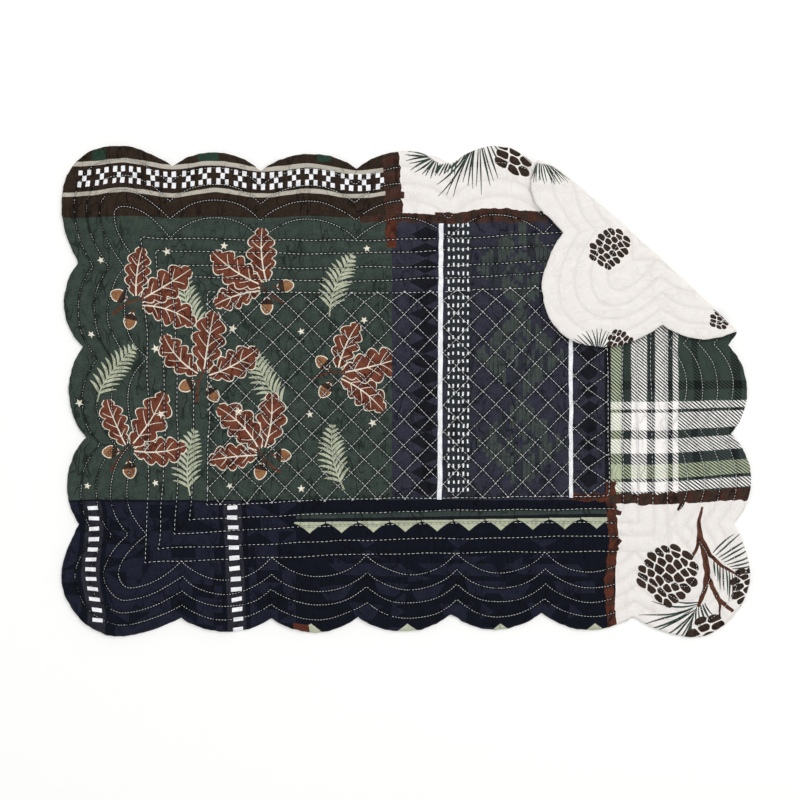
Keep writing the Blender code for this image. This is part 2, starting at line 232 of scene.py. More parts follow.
def roundedCorner(first, second, squareness, steps):
    level = abs(first[1]) > abs(second[1])
    middle = (first[0], second[1]) if level else (second[0], first[1])
    points = []
    for step in range(steps):
        angle = math.pi / 2 * step / steps
        near = math.cos(angle) ** (2 / squareness)
        far = math.sin(angle) ** (2 / squareness)
        x = middle[0] + (first[0] - middle[0]) * near + (second[0] - middle[0]) * far
        y = middle[1] + (first[1] - middle[1]) * near + (second[1] - middle[1]) * far
        points.append((x, y))
    return points


def cornerScallop(first, second, peaks, squareness, steps):
    levelFirst = abs(peaks[0][1]) > abs(peaks[1][1])
    wayIn = cornerFlank(first, peaks[0], 0 if levelFirst else 1, steps // 2)
    wayOut = cornerFlank(second, peaks[1], 1 if levelFirst else 0, steps // 2)
    return wayIn + roundedCorner(*peaks, squareness, steps) + [peaks[1]] + wayOut[:0:-1]


def rectangleSide(rectangle, side, part):
    x, y = between(rectangle[side], rectangle[(side + 1) % 4], part)
    bow = 4 * part * (1 - part)
    x += rectangle[4] * bow if side == 3 else 0
    y -= rectangle[5] * bow if side == 2 else 0
    y += rectangle[6] * bow if side == 0 else 0
    return x, y


def notchAt(row, part):  # a notch of the scalloped line that lies a part of the way in
    side = ("bottom", "right", "top", "left").index(row[0])
    axis = side % 2
    outer = matPlan["rectangles"][0]
    start, end = outer[side], outer[(side + 1) % 4]
    reach = (row[1 + axis] + row[4] - start[axis]) / (end[axis] - start[axis])
    point = list(between(row[1:3], rectangleSide(outer, side, reach), part))
    point[axis] += row[4] * (min(1.0, part / matPlan["echoRows"][0]) - part)
    return tuple(point)


def scallopedLine(part, steps=24):
    points = []
    corners = iter(matPlan["corners"])
    rows = matPlan["notches"]
    for number, row in enumerate(rows):
        first = notchAt(row, part)
        second = notchAt(rows[(number + 1) % len(rows)], part)
        if row[3]:
            rise = row[3] + (matPlan["innerRise"] - row[3]) * part
            points += scallopArc(first, second, rise, steps)
        else:
            spots = next(corners)
            peaks = (between(spots[0:2], spots[4:6], part), between(spots[2:4], spots[6:8], part))
            points += cornerScallop(first, second, peaks, spots[8], steps)
    return points


def rectangleLine(rectangle, steps=40):
    return [rectangleSide(rectangle, side, step / steps) for side in range(4) for step in range(steps)]


def evenly(points, spacing, closed):  # the same line with evenly spaced points
    line = np.array(list(points) + ([points[0]] if closed else []), float)
    reach = np.concatenate(([0], np.cumsum(np.hypot(*np.diff(line, axis=0).T))))
    count = max(2, round(reach[-1] / spacing))
    wanted = np.linspace(0, reach[-1], count + 1)[: count if closed else None]
    return np.column_stack([np.interp(wanted, reach, line[:, axis]) for axis in (0, 1)])


def ripples(points, length, seed):
    return np.array([noise.noise(Vector((x / length, y / length, seed))) for x, y in points])


def wobbled(points, amount, length, seed):  # a line as a hand guides it
    points = np.asarray(points, float)
    sideways = [ripples(points, length, seed + axis * 40.5) for axis in (0, 1)]
    return points + amount * np.column_stack(sideways)


def insideOf(polygon, points):
    x, y = points.T
    odd = np.zeros(len(points), bool)
    before = polygon[-1]
    for after in polygon:
        if after[1] != before[1]:
            crossing = before[0] + (after[0] - before[0]) * (y - before[1]) / (after[1] - before[1])
            odd ^= ((after[1] > y) != (before[1] > y)) & (x < crossing)
        before = after
    return odd


def latticeLines():  # zigzag rows whose turns touch the innermost rectangle
    field = matPlan["rectangles"][-1]
    border = np.array(rectangleLine(field, 160))
    half = matPlan["latticePitch"] / 2
    columns, rows = matPlan["latticeColumns"], matPlan["latticeRows"]
    nodes = {}
    for column in range(columns[0], columns[1] + 1):
        for row in range(rows[0], rows[1] + 1):
            x = matPlan["latticeAt"][0] + column * half
            y = matPlan["latticeAt"][1] + row * half + column * half * matPlan["latticeClimb"]
            if column in columns or row in rows:
                nearest = border[np.argmin(np.hypot(*(border - (x, y)).T))]
                x, y = between((x, y), nearest, 0.8)
            nodes[column, row] = (x, y)
    lines = []
    for turn in (1, -1):
        for start in range(-40, 60):
            line = [nodes[c, r] for c, r in sorted(nodes) if (c + r) % 2 == 0 and r - turn * c == start]
            if len(line) > 1:
                lines.append(line)
    return lines


# Every line of stitches: what it is, its points and whether it closes on itself.
def stitchLines():
    rings = [("echo", number, scallopedLine(part)) for number, part in enumerate(matPlan["echoRows"])]
    for number, rectangle in enumerate(matPlan["rectangles"]):
        rings.append(("rectangle", number, rectangleLine(rectangle)))
    lines = []
    for kind, number, points in rings + [("lattice", 0, points) for points in latticeLines()]:
        closed = kind != "lattice"
        amount, length, seed = matPlan[kind + "Sway"]
        points = wobbled(evenly(points, matPlan["lineSpacing"], closed), amount, length, seed + number)
        lines.append((kind, points, closed))
    return lines


# Finds the nearest of some lines, how far away it is and how far along it that is.
def lineFinder(lines):
    found = {"here": [], "before": [], "after": [], "reach": [], "owner": []}
    for number, (points, closed) in enumerate(lines):
        previous = np.roll(points, 1, axis=0)
        following = np.roll(points, -1, axis=0)
        if not closed:
            previous[0] = points[0]
            following[-1] = points[-1]
        steps = np.hypot(*(points - previous).T)
        steps[0] = 0
        found["here"].append(points)
        found["before"].append(previous)
        found["after"].append(following)
        found["reach"].append(np.cumsum(steps))
        found["owner"].append(np.full(len(points), number))
    return withTree({name: np.concatenate(values) for name, values in found.items()})


def withTree(finder):
    tree = kdtree.KDTree(len(finder["here"]))
    for number, (x, y) in enumerate(finder["here"]):
        tree.insert((x, y, 0), number)
    tree.balance()
    finder["tree"] = tree
    return finder


def partOf(finder, chosen):
    return withTree({name: values[chosen] for name, values in finder.items() if name != "tree"})


def nearestLine(finder, points):
    found = np.array([finder["tree"].find((x, y, 0))[1] for x, y in points])
    best = np.full(len(points), 1e9)
    side = np.zeros(len(points))
    reach = np.zeros(len(points))
    for name, sign in (("before", -1), ("after", 1)):
        start = finder["here"][found]
        step = finder[name][found] - start
        square = np.maximum((step * step).sum(1), 1e-12)
        part = np.clip(((points - start) * step).sum(1) / square, 0, 1)
        gap = points - (start + step * part[:, None])
        distance = np.hypot(*gap.T)
        closer = distance < best
        best[closer] = distance[closer]
        cross = sign * (step[:, 0] * gap[:, 1] - step[:, 1] * gap[:, 0])
        side[closer] = np.sign(cross[closer])
        reach[closer] = (finder["reach"][found] + sign * part * np.sqrt(square))[closer]
    return best, side, reach, finder["owner"][found]


def pastFold(points):  # how far past the fold's start, and how far along the fold
    offset = np.asarray(points, float) - fold["start"]
    along = offset @ np.array(fold["along"])
    out = offset @ np.array(fold["outward"])
    part = np.clip(along / fold["length"], 0, 1)
    return out - fold["bow"] * 4 * part * (1 - part), along


def onMat(past, along):  # the flat place of a distance past the fold and along it
    part = np.clip(along / fold["length"], 0, 1)
    out = past + fold["bow"] * 4 * part * (1 - part)
    steps = np.outer(along, fold["along"]) + np.outer(out, fold["outward"])
    return np.array(fold["start"]) + steps


def foldEnd():
    return math.pi * fold["radius"]


def eased(value, start, end):
    part = np.clip((value - start) / (end - start), 0, 1)
    return part * part * (3 - 2 * part)


def nearStart(along):
    return np.exp(-((np.maximum(along - fold["startAt"], 0) / fold["startSpread"]) ** 2))


def drawnIn(along):  # how far the end of the fold lies back from its line
    return fold["startDrop"] * eased(-along, 0, fold["dropLength"])


def flapReach(along):
    return fold["reach"] + fold["startReach"] * nearStart(along)


def swaying(start, step, part):  # points of a crease, which sways about its straight line
    normal = np.array([-step[1], step[0]]) / np.hypot(*step)
    sway = creases["sway"] * np.sin(creases["swayTurn"] * part + start[0])
    return start + np.outer(part, step) + np.outer(sway, normal)


def creased(points):  # how deep the placed creases are at some points
    depths = np.zeros(len(points))
    for x0, y0, x1, y1, depth in creases["placed"]:
        start, step = np.array([x0, y0]), np.array([x1 - x0, y1 - y0])
        part = np.clip((points - start) @ step / (step @ step), 0, 1)
        gap = np.hypot(*(points - swaying(start, step, part)).T) / creases["halfWidth"]
        ends = np.sin(math.pi * np.clip(part, 0.02, 0.98)) ** 0.6
        ridge = creases["ridge"] * np.exp(-((gap - creases["ridgeAt"]) ** 2))
        depths += creases["deepen"] * depth * ends * (np.exp(-(gap**2)) - ridge)
    return depths


def creaseRow(x0, y0, x1, y1):
    count = max(4, round(math.hypot(x1 - x0, y1 - y0) / meshing["alongLines"]))
    return swaying(np.array([x0, y0]), np.array([x1 - x0, y1 - y0]), np.linspace(0, 1, count))


def folded(points, heights):  # the place in space of flat points at heights, in metres
    past, along = pastFold(points)
    radius = fold["radius"]
    turn = np.clip(past / radius, 0, math.pi)
    beyond = np.maximum(past - foldEnd(), 0)
    out = np.where(past < 0, past, radius * np.sin(turn)) - heights * np.sin(turn)
    out -= beyond * flapReach(along) + drawnIn(along) * eased(past, *fold["dropGrows"])
    up = radius * (1 - np.cos(turn)) + heights * np.cos(turn)
    up -= fold["settle"] * (1 - np.exp(-beyond / fold["settleLength"]))
    lift = fold["wave"] * eased(beyond, *fold["waveGrows"])
    up += lift * np.maximum(ripples(points, fold["waveLength"], 71.3) + fold["waveShift"], 0)
    slide = fold["startSlide"] * nearStart(along) * eased(past, *fold["slideGrows"])
    flat = onMat(out, along - slide)
    return np.column_stack((flat[:, 0] + matPlan["middleShift"], flat[:, 1], up)) * mm


def puffed(points, stitch, crest):  # the cloth between its stitches
    arch = np.ones(len(points))
    for family, half in seamFamilies:
        distance = nearestLine(family, points)[0]
        arch *= np.sin(math.pi / 2 * np.minimum(distance / half, 1)) ** quilting["pillow"]
    full = 1 + quilting["crestVaries"] * ripples(points, quilting["crestPatch"], 3.7)
    full += 0.5 * quilting["crestVaries"] * ripples(points, quilting["crestPatch"] / 2, 9.1)
    height = stitch + (crest - stitch) * arch * full
    distance, side, reach, owner = nearestLine(seams, points)
    length = quilting["puckerLength"]
    tucks = np.array([
        noise.noise(Vector((s / length, o * 7.31 + t * 1.7, d / length / quilting["puckerDrawn"])))
        for s, o, t, d in zip(reach, owner, side, distance)
    ])
    reachOut = 1 - eased(distance, *quilting["puckerFades"])
    near = eased(distance, 0.0, quilting["clearOfThread"])
    sign = np.sign(crest - stitch)
    depth = quilting["puckerAtThread"] + (1 - quilting["puckerAtThread"]) * near
    height += sign * quilting["pucker"] * tucks * reachOut * depth
    height += sign * quilting["crumple"] * ripples(points, quilting["crumpleLength"], 31.7) * near
    return height - sign * creased(points)


def rimmed(points, heights, rim, back):  # both cloths close on one rounded edge
    gap = nearestLine(rim, points)[0]
    grown = foldEnd() + quilting["backRimGrows"]
    onFlap = eased(pastFold(points)[0], foldEnd(), grown) if back else 0
    reach = quilting["rimRound"] + (quilting["backRimRound"] - quilting["rimRound"]) * onFlap
    inward = 1 - np.clip(gap / reach, 0, 1)
    roundness = np.sqrt(1 - inward * inward)
    return quilting["rimHeight"] + (heights - quilting["rimHeight"]) * roundness


def hexGrid(low, high, spacing):
    rows = np.arange(low[1], high[1], spacing * 0.866)
    points = []
    for number, y in enumerate(rows):
        xs = np.arange(low[0] + (number % 2) * spacing / 2, high[0], spacing)
        points.append(np.column_stack((xs, np.full(len(xs), y))))
    return np.concatenate(points)


def apart(points, gap):  # drops points that share a small cell
    cells = np.round(points / gap).astype(int)
    kept = np.unique(cells, axis=0, return_index=True)[1]
    return points[np.sort(kept)]


def clearOf(points, others, gap):
    tree = kdtree.KDTree(len(others))
    for number, (x, y) in enumerate(others):
        tree.insert((x, y, 0), number)
    tree.balance()
    return points[[tree.find((x, y, 0))[2] > gap for x, y in points]]


def normalsOf(steps):  # to the left of each step, of unit length
    return np.column_stack((-steps[:, 1], steps[:, 0])) / np.hypot(*steps.T)[:, None]


def offsetRow(points, distance, closed):
    following = np.roll(points, -1, axis=0)
    previous = np.roll(points, 1, axis=0)
    if not closed:
        following[-1] = points[-1]
        previous[0] = points[0]
    return points + normalsOf(following - previous) * distance


# Points of a cloth's mesh: its edge, its stitched lines, its bend and an even spread.
def clothPoints(outline, stitched, rim, spacing, onlyBeyond=None):
    low, high = outline.min(0), outline.max(0)
    gaps = meshing["gaps"]
    rows = [offsetRow(outline, inward, True) for inward in meshing["edgeRows"]]
    rows = apart(np.concatenate(rows), gaps["edge"])
    rows = rows[insideOf(outline, rows)]
    rows = rows[nearestLine(rim, rows)[0] > gaps["edgeToRim"]]
    laid = np.concatenate((outline, rows))
    before, after = meshing["bendSpan"]
    past, along = np.meshgrid(
        np.arange(before, foldEnd() + after, meshing["bend"]),
        np.arange(*meshing["bendReach"], meshing["bendAlong"]),
    )
    along += meshing["bendAlong"] / 2 * (np.round(past / meshing["bend"]) % 2)
    bend = onMat(past.ravel(), along.ravel())
    bend = bend[insideOf(outline, bend)]
    laid = np.concatenate((laid, clearOf(bend, laid, gaps["bend"])))
    lines = []
    for _, points, closed in stitched:
        fine = evenly(points, meshing["alongLines"], closed)
        for side in (0, meshing["stitchRow"], -meshing["stitchRow"]):
            lines.append(offsetRow(fine, side, closed) if side else fine)
    for x0, y0, x1, y1, _ in creases["placed"]:
        row = creaseRow(x0, y0, x1, y1)
        lines += [row] + [offsetRow(row, side * meshing["creaseRow"], False) for side in (1, -1)]
    lines = apart(np.concatenate(lines), gaps["line"])
    lines = lines[insideOf(outline, lines)]
    if onlyBeyond is not None:
        lines = lines[pastFold(lines)[0] > onlyBeyond]
    laid = np.concatenate((laid, clearOf(lines, laid, gaps["lineToOthers"])))
    grid = hexGrid(low, high, spacing)
    if onlyBeyond is not None:
        dense = hexGrid(low, high, meshing["cloth"])
        dense = dense[pastFold(dense)[0] > onlyBeyond]
        grid = np.concatenate((grid[pastFold(grid)[0] <= onlyBeyond], dense))
    grid = grid[insideOf(outline, grid)]
    grid = grid[nearestLine(rim, grid)[0] > gaps["gridToRim"]]
    return np.concatenate((laid, clearOf(grid, laid, spacing * gaps["gridShare"])))


def signedArea(points):
    x, y = np.asarray(points, float).T
    return (np.dot(x, np.roll(y, -1)) - np.dot(y, np.roll(x, -1))) / 2


# Cuts the flat cloth into triangles along its edge and along every shape of its print.
def cutCloth(outline, points, shapes):
    corners = [Vector(p) for p in points]
    faces = [list(range(len(outline)))]
    for _, shape in shapes:
        if signedArea(shape) < 0:
            shape = shape[::-1]
        ring = []
        for number, here in enumerate(shape):
            after = shape[(number + 1) % len(shape)]
            pieces = max(1, math.ceil(math.dist(here, after) / meshing["print"]))
            for step in range(pieces):
                ring.append(len(corners))
                corners.append(Vector(between(here, after, step / pieces)))
        faces.append(ring)
    cut = delaunay_2d_cdt(corners, [], faces, 1, 1e-4)
    flat = np.array([tuple(v) for v in cut[0]])
    kept = [(face, max(owners)) for face, owners in zip(cut[2], cut[5]) if 0 in owners]
    triangles = np.array([face for face, _ in kept])
    owners = np.array([owner for _, owner in kept])
    used, renumbered = np.unique(triangles, return_inverse=True)
    return flat[used], renumbered.reshape(triangles.shape), owners


def clothObject(name, places, triangles, flat, seam, slots):
    mesh = bpy.data.meshes.new(name)
    mesh.from_pydata(places.tolist(), [], triangles.tolist())
    mesh.polygons.foreach_set("use_smooth", [True] * len(triangles))
    loops = np.zeros(len(mesh.loops), int)
    mesh.loops.foreach_get("vertex_index", loops)
    for layer, values in (("flat", flat), ("seam", seam)):
        uv = mesh.uv_layers.new(name=layer)
        uv.data.foreach_set("uv", (values[loops] * mm).ravel())
    mesh.polygons.foreach_set("material_index", slots)
    return addObject(name, mesh)


# Colours as the eye names them, turned to the linear ones that the shaders take.
def colour(hexCode):
    values = [int(hexCode[i : i + 2], 16) / 255 for i in (1, 3, 5)]
    return [v / 12.92 if v <= 0.04045 else ((v + 0.055) / 1.055) ** 2.4 for v in values] + [1]


def addNode(tree, kind, settings=(), inputs=(), links=()):
    node = tree.nodes.new(kind)
    for name, value in dict(settings).items():
        setattr(node, name, value)
    for name, value in dict(inputs).items():
        node.inputs[name].default_value = value
    for name, source in dict(links).items():
        tree.links.new(source, node.inputs[name])
    return node


def addObject(name, data):
    made = bpy.data.objects.new(name, data)
    bpy.context.scene.collection.objects.link(made)
    return made


def newMaterial(name):
    material = bpy.data.materials.new(name)
    material.use_nodes = True
    material.node_tree.nodes.clear()
    return material


def newGroup(name, kind, sockets):
    tree = bpy.data.node_groups.new(name, kind)
    for socket, way, holds in sockets:
        tree.interface.new_socket(socket, in_out=way, socket_type="NodeSocket" + holds)
    return tree


# Adds a chain of calculations to a tree. Each row has the result's name, the sum or the range
# that makes it, and what goes into that: names of earlier results, and numbers.
def workOut(tree, found, rows):
    for name, operation, first, *others in rows:
        if operation in ("SMOOTHSTEP", "LINEAR"):
            ends = dict(zip(("From Min", "From Max", "To Min", "To Max"), others))
            how = {"interpolation_type": operation}
            node = addNode(tree, "ShaderNodeMapRange", how, ends, {"Value": found[first]})
        else:
            given = dict(enumerate(others, 1))
            linked = {place: found[value] for place, value in given.items() if isinstance(value, str)}
            fixed = {place: value for place, value in given.items() if place not in linked}
            linked[0] = found[first]
            node = addNode(tree, "ShaderNodeMath", {"operation": operation}, fixed, linked)
        found[name] = node.outputs[0]


# Quilting-weight cotton, plain woven and printed with pigment: matt, finely grained,
# crumpled between its stitches, its print a little uneven where the ink took less.
# Shade in the thread's grooves and along thin creases is painted into the print's colour.
clothLook = {
    # what each clouded pattern follows, its size in mm, how far it is drawn out upright, detail
    "clouds": {
        "inkPatch": ("flat", 6.0, 1.0, 5.0),
        "grain": ("flat", 0.9, 1.0, 2.0),
        "crinkle": ("flat", 7.5, 0.4, 1.5),  # thin creases that come and go, mostly upright; sunk by the bump and darkened by painted shade
        "crinkled": ("flat", 13.0, 0.6, 1.0),
        "tuck": ("seam", 2.2, 0.25, 3.0),  # small folds that run in under the stitches
        "pull": ("flat", 4.5, 0.16, 3.0),  # long upright pulls in the cloth
        "crumple": ("flat", 5.0, 1.0, 4.0),
    },
    "crinkleWidth": 0.034,
    "threadPitch": 0.62,  # mm; the real 0.3 mm weave is drawn twice as coarse to show
    # depth of each relief in mm
    "depths": {
        "groove": 0.4, "tucked": 0.8, "pull": 1.4, "crumple": 1.2, "crinkleSunk": 0.4, "weave": 0.05,
    },
    "inkAndShadeStops": (0.37, 0.58, 0.8),  # thin, well inked and deepest stops; the deepest is reached mostly where painted shade of grooves and creases is added
    "deepShadeShare": (0.45, 0.98),  # how bright the deepest stop, mostly painted shade, stays on a dark and on a pale ink
    "roughness": 0.9,
    "specular": 0.12,
    "sheen": 0.02,
    "sheenRoughness": 0.5,
    "seamPaintedShade": 0.45,  # painted shade in the thread's groove: the ink is pushed darker there
    # painted shade along the thin creases: how much it darkens the ink
    "creasePaintedShade": 0.42,
    "relief": (1.3, 0.35),  # share of those depths that shows on a dark and on a pale ink
    "scatter": 0.6,  # pale cotton and its wadding scatter light
    "scatterReach": 2.5,
}


def clothSurface():  # one group for every print colour: unevenness of ink, painted shade in seam grooves and creases, and the bump
    sockets = (("Relief", "INPUT", "Float"), ("InkAndShade", "OUTPUT", "Float"), ("Normal", "OUTPUT", "Vector"))
    tree = newGroup("cottonSurface", "ShaderNodeTree", sockets)
    relief = addNode(tree, "NodeGroupInput").outputs["Relief"]
    layers = {
        name: addNode(tree, "ShaderNodeUVMap", {"uv_map": name}).outputs[0] for name in ("flat", "seam")
    }
    fromSeam = addNode(tree, "ShaderNodeSeparateXYZ", {}, {}, {"Vector": layers["seam"]})
    found = {"fromSeam": fromSeam.outputs["Y"]}
    for name, (layer, size, stretch, detail) in clothLook["clouds"].items():
        drawnOut = {"Scale": (1.0, stretch, 1.0)}
        drawn = addNode(tree, "ShaderNodeMapping", {}, drawnOut, {"Vector": layers[layer]})
        grain = {"Scale": 1 / (size * mm), "Detail": detail}
        cloud = addNode(tree, "ShaderNodeTexNoise", {}, grain, {"Vector": drawn.outputs[0]})
        found[name] = cloud.outputs["Fac"]
    for name in ("X", "Y"):
        bands = {"Scale": 0.5 / (clothLook["threadPitch"] * mm), "Distortion": 0.4}
        way = {"bands_direction": name}
        wave = addNode(tree, "ShaderNodeTexWave", way, bands, {"Vector": layers["flat"]})
        found["threads" + name] = wave.outputs["Fac"]
    workOut(tree, found, (
        ("mottled", "MULTIPLY_ADD", "inkPatch", 0.6, "grain"),
        ("offMiddle", "SUBTRACT", "crinkle", 0.5),
        ("wander", "ABSOLUTE", "offMiddle"),
        ("hairline", "SMOOTHSTEP", "wander", 0.0, clothLook["crinkleWidth"], 1.0, 0.0),
        ("present", "SMOOTHSTEP", "crinkled", 0.43, 0.6, 0.0, 1.0),
        ("creased", "MULTIPLY", "hairline", "present"),
        ("crinkleSunk", "MULTIPLY", "creased", -1.0),
        # painted shade: darker ink within about a millimetre of each seam, where its groove lies in shade
        ("shade", "SMOOTHSTEP", "fromSeam", 0.2 * mm, 1.3 * mm, clothLook["seamPaintedShade"], 0.0),
        ("shaded", "ADD", "mottled", "shade"),
        # painted shade along the thin creases; from here on the ink carries both the mottling and the painted
        # shade
        ("inked", "MULTIPLY_ADD", "creased", clothLook["creasePaintedShade"], "shaded"),
        ("ink", "MULTIPLY", "inked", 0.6),
        ("nearness", "SMOOTHSTEP", "fromSeam", 1.2 * mm, 3.7 * mm, 1.0, 0.0),
        ("centred", "SUBTRACT", "tuck", 0.5),
        ("tucked", "MULTIPLY", "centred", "nearness"),
        ("groove", "SMOOTHSTEP", "fromSeam", 0.1 * mm, 1.2 * mm, 0.0, 1.0),
        ("weave", "MULTIPLY", "threadsX", "threadsY"),
    ))
    links = {}
    for name, depth in clothLook["depths"].items():
        deep = addNode(tree, "ShaderNodeMath", {"operation": "MULTIPLY"}, {1: depth * mm}, {0: relief})
        links.update({"Height": found[name], "Distance": deep.outputs[0]})
        links["Normal"] = addNode(tree, "ShaderNodeBump", {}, {"Strength": 1.0}, links).outputs[0]
    addNode(tree, "NodeGroupOutput", {}, {}, {"InkAndShade": found["ink"], "Normal": links["Normal"]})
    return tree


surfaceGroup = clothSurface()


def fillRamp(ramp, stops):
    stops = list(stops)
    while len(ramp.elements) < len(stops):
        ramp.elements.new(1.0)
    for element, (position, shade) in zip(ramp.elements, stops):
        element.position = position
        element.color = shade


def finishCotton(tree, shade, normal, paleness=0.0):
    shader = addNode(tree, "ShaderNodeBsdfPrincipled", {"subsurface_method": "BURLEY"}, {
        "Roughness": clothLook["roughness"], "Specular IOR Level": clothLook["specular"],
        "Sheen Weight": clothLook["sheen"], "Sheen Roughness": clothLook["sheenRoughness"],
        "Subsurface Weight": clothLook["scatter"] * paleness, "Subsurface Radius": (1.0, 1.0, 1.0),
        "Subsurface Scale": clothLook["scatterReach"] * mm,
    }, {"Base Color": shade, "Normal": normal})
    addNode(tree, "ShaderNodeOutputMaterial", {}, {}, {"Surface": shader.outputs[0]})


def printedCotton(name, full, faded):  # one printed colour, from thinly inked to well inked, and darker where painted shade is added
    material = newMaterial(name)
    tree = material.node_tree
    inked = colour(full)
    paleness = min(1.0, sum(inked[:3]) / 2)
    onDark, onPale = clothLook["relief"]
    relief = {"Relief": onDark + (onPale - onDark) * paleness}
    surface = addNode(tree, "ShaderNodeGroup", {"node_tree": surfaceGroup}, relief)
    shade = addNode(tree, "ShaderNodeValToRGB", {}, {}, {"Fac": surface.outputs["InkAndShade"]})
    onDark, onPale = clothLook["deepShadeShare"]
    # the deepest stop is the colour of the painted shade in grooves and creases
    deep = [value * (onDark + (onPale - onDark) * paleness) for value in inked[:3]] + [1]
    fillRamp(shade.color_ramp, zip(clothLook["inkAndShadeStops"], (colour(faded), inked, deep)))
    finishCotton(tree, shade.outputs["Color"], surface.outputs["Normal"], paleness)
    return material


cameraPlan = {"lens": 154.29, "sensor": 36, "farthest": 20, "at": (-0.00437, -0.00595, 2.403)}


def makeCamera():  # it looks straight down
    camera = bpy.data.cameras.new("camera")
    camera.lens = cameraPlan["lens"]
    camera.sensor_width = cameraPlan["sensor"]
    camera.clip_end = cameraPlan["farthest"]
    view = addObject("camera", camera)
    view.location = cameraPlan["at"]
    bpy.context.scene.camera = view


makeCamera()

# The print, in millimetres on the flat front. Each shape has the name of its ink, and a
# later shape lies over an earlier one.
inks = {  # well inked, thinly inked
    "creamGround": ("#e0dbd7", "#e8e4e0"),
    "brownBand": ("#221912", "#362b22"),
    "greyStripe": ("#a8a296", "#bdb8ac"),
    "whiteInk": ("#e0e1e4", "#f4f5f7"),
    "darkGreen": ("#1f3329", "#2d4236"),
    "barkBrown": ("#35201a", "#4e3329"),
    "barkRust": ("#452419", "#633426"),
    "panelGreen": ("#2c3630", "#404b44"),
    "navy": ("#24252f", "#363745"),
    "navyDark": ("#101117", "#191a22"),
    "charcoal": ("#23262a", "#31353a"),
    "plum": ("#201f27", "#302f38"),
    "ikatGreen": ("#333b37", "#464e49"),
    "deepNavy": ("#070a14", "#0e121f"),
    "navyShade": ("#131524", "#202332"),
    "sage": ("#a5aa91", "#bcc0aa"),
    "stripeGreen": ("#29332f", "#3a4440"),
    "needleGreen": ("#26342f", "#43544c"),
    "coneBrown": ("#2a1f19", "#41332b"),
    "twigBrown": ("#4a2b20", "#664031"),
    "leafRust": ("#592c1f", "#7a4735"),
    "leafCream": ("#d9d3c1", "#e8e2d2"),
    "acornTan": ("#83583a", "#9c7250"),
}


def box(left, bottom, right, top):
    return [(left, bottom), (right, bottom), (right, top), (left, top)]


def ragged(shape, amount, length, seed):  # a printed edge that wavers
    return wobbled(evenly(shape, meshing["print"], True), amount, length, seed)


def placed(points, centre, angle=0.0):
    cosine, sine = math.cos(angle), math.sin(angle)
    return [(centre[0] + x * cosine - y * sine, centre[1] + x * sine + y * cosine) for x, y in points]


def ahead(spot, angle, far):
    return (spot[0] + far * math.cos(angle), spot[1] + far * math.sin(angle))


def bentPath(start, end, bend, count=9):  # bend is how far the middle leaves the chord
    chord = np.subtract(end, start)
    normal = np.array([-chord[1], chord[0]])
    part = np.linspace(0, 1, count)[:, None]
    return np.array(start) + chord * part + normal * bend * 4 * part * (1 - part)


def stroke(path, widths):  # a printed line whose width changes along it
    path = np.asarray(path, float)
    places = np.linspace(0, 1, len(path))
    half = np.interp(places, np.linspace(0, 1, len(widths)), widths)[:, None] / 2
    aside = normalsOf(np.gradient(path, axis=0)) * half
    return np.concatenate((path + aside, (path - aside)[::-1]))


def needles(first, last, angles, lengths, count, width, dice):  # a fringe or fan of needles
    shapes = []
    for number in range(count):
        part = number / (count - 1)
        angle = math.radians(angles[0] + (angles[1] - angles[0]) * part + dice.uniform(-3, 3))
        far = np.interp(part, np.linspace(0, 1, len(lengths)), lengths) * dice.uniform(0.86, 1.06)
        root = between(first, last, part)
        wide = width * dice.uniform(0.8, 1.15)
        path = bentPath(root, ahead(root, angle, far), dice.uniform(-0.05, 0.05), 7)
        shapes.append(("needleGreen", stroke(path, (wide * 0.45, wide * 0.9, wide, wide * 0.7, 0.35))))
    return shapes


def trimmed(shape, spot, normal):  # what is left of a shape behind a line
    kept = []
    for number, here in enumerate(shape):
        after = shape[(number + 1) % len(shape)]
        first = (here[0] - spot[0]) * normal[0] + (here[1] - spot[1]) * normal[1]
        second = (after[0] - spot[0]) * normal[0] + (after[1] - spot[1]) * normal[1]
        if first <= 0:
            kept.append(here)
        if first * second < 0:
            kept.append(between(here, after, first / (first - second)))
    return kept


def softened(shape):  # the same shape with its corners cut
    ring = list(zip(shape, shape[1:] + shape[:1]))
    return [between(here, after, part) for here, after in ring for part in (0.22, 0.78)]


def pineCone(centre, length, width, angle, rows, dice):  # bowed rows of rounded scales
    def bowed(part):  # rows and scales crowd towards the ends
        return math.sin(1.2 * (part * 2 - 1)) / math.sin(1.2)

    pitch = length / rows
    wide = 1.55  # how much wider than high a scale is
    spots = []
    for row in range(rows):
        level = bowed((row + 0.5) / rows)
        half = width / 2 * math.sqrt(1 - 0.8 * abs(level) ** 2.4)
        count = max(2, round(2 * half / (pitch * wide)))
        for number in range(count):
            side = bowed((number + 0.5 + 0.3 * (row % 2) - 0.15) / count)
            x = side * half * 0.9 + dice.uniform(-0.12, 0.12) * pitch
            y = level * length * 0.46 + 0.09 * width * (0.5 - side * side)
            spots.append((x / wide, y + dice.uniform(-0.1, 0.1) * pitch))
    shapes = []
    for here in spots:
        size = pitch * dice.uniform(0.56, 0.7)
        scale = [ahead(here, 2 * math.pi * step / 14, size) for step in range(14)]
        for other in spots:
            apartness = math.dist(here, other)
            if 0 < apartness < 2.5 * pitch:
                normal = ((other[0] - here[0]) / apartness, (other[1] - here[1]) / apartness)
                reach = apartness / 2 - 0.07 * pitch
                spot = (here[0] + normal[0] * reach, here[1] + normal[1] * reach)
                scale = trimmed(scale, spot, normal)
        if len(scale) > 2 and abs(signedArea(scale)) > 0.06 * pitch * pitch:
            scale = [(x * wide, y) for x, y in softened(scale)]
            shapes.append(("coneBrown", placed(scale, centre, angle)))
    return shapes


def groundOf(panel):  # its ink, its corners and how its printed edge wavers
    ink, corners, waver = panel["ground"]
    return [(ink, ragged(box(*corners), *waver))]


def stripBetween(start, end, width, rough, length, seed):
    path = np.linspace(start, end, max(4, round(math.dist(start, end) / meshing["print"])))
    return wobbled(stroke(path, (width, width)), rough, length, seed)


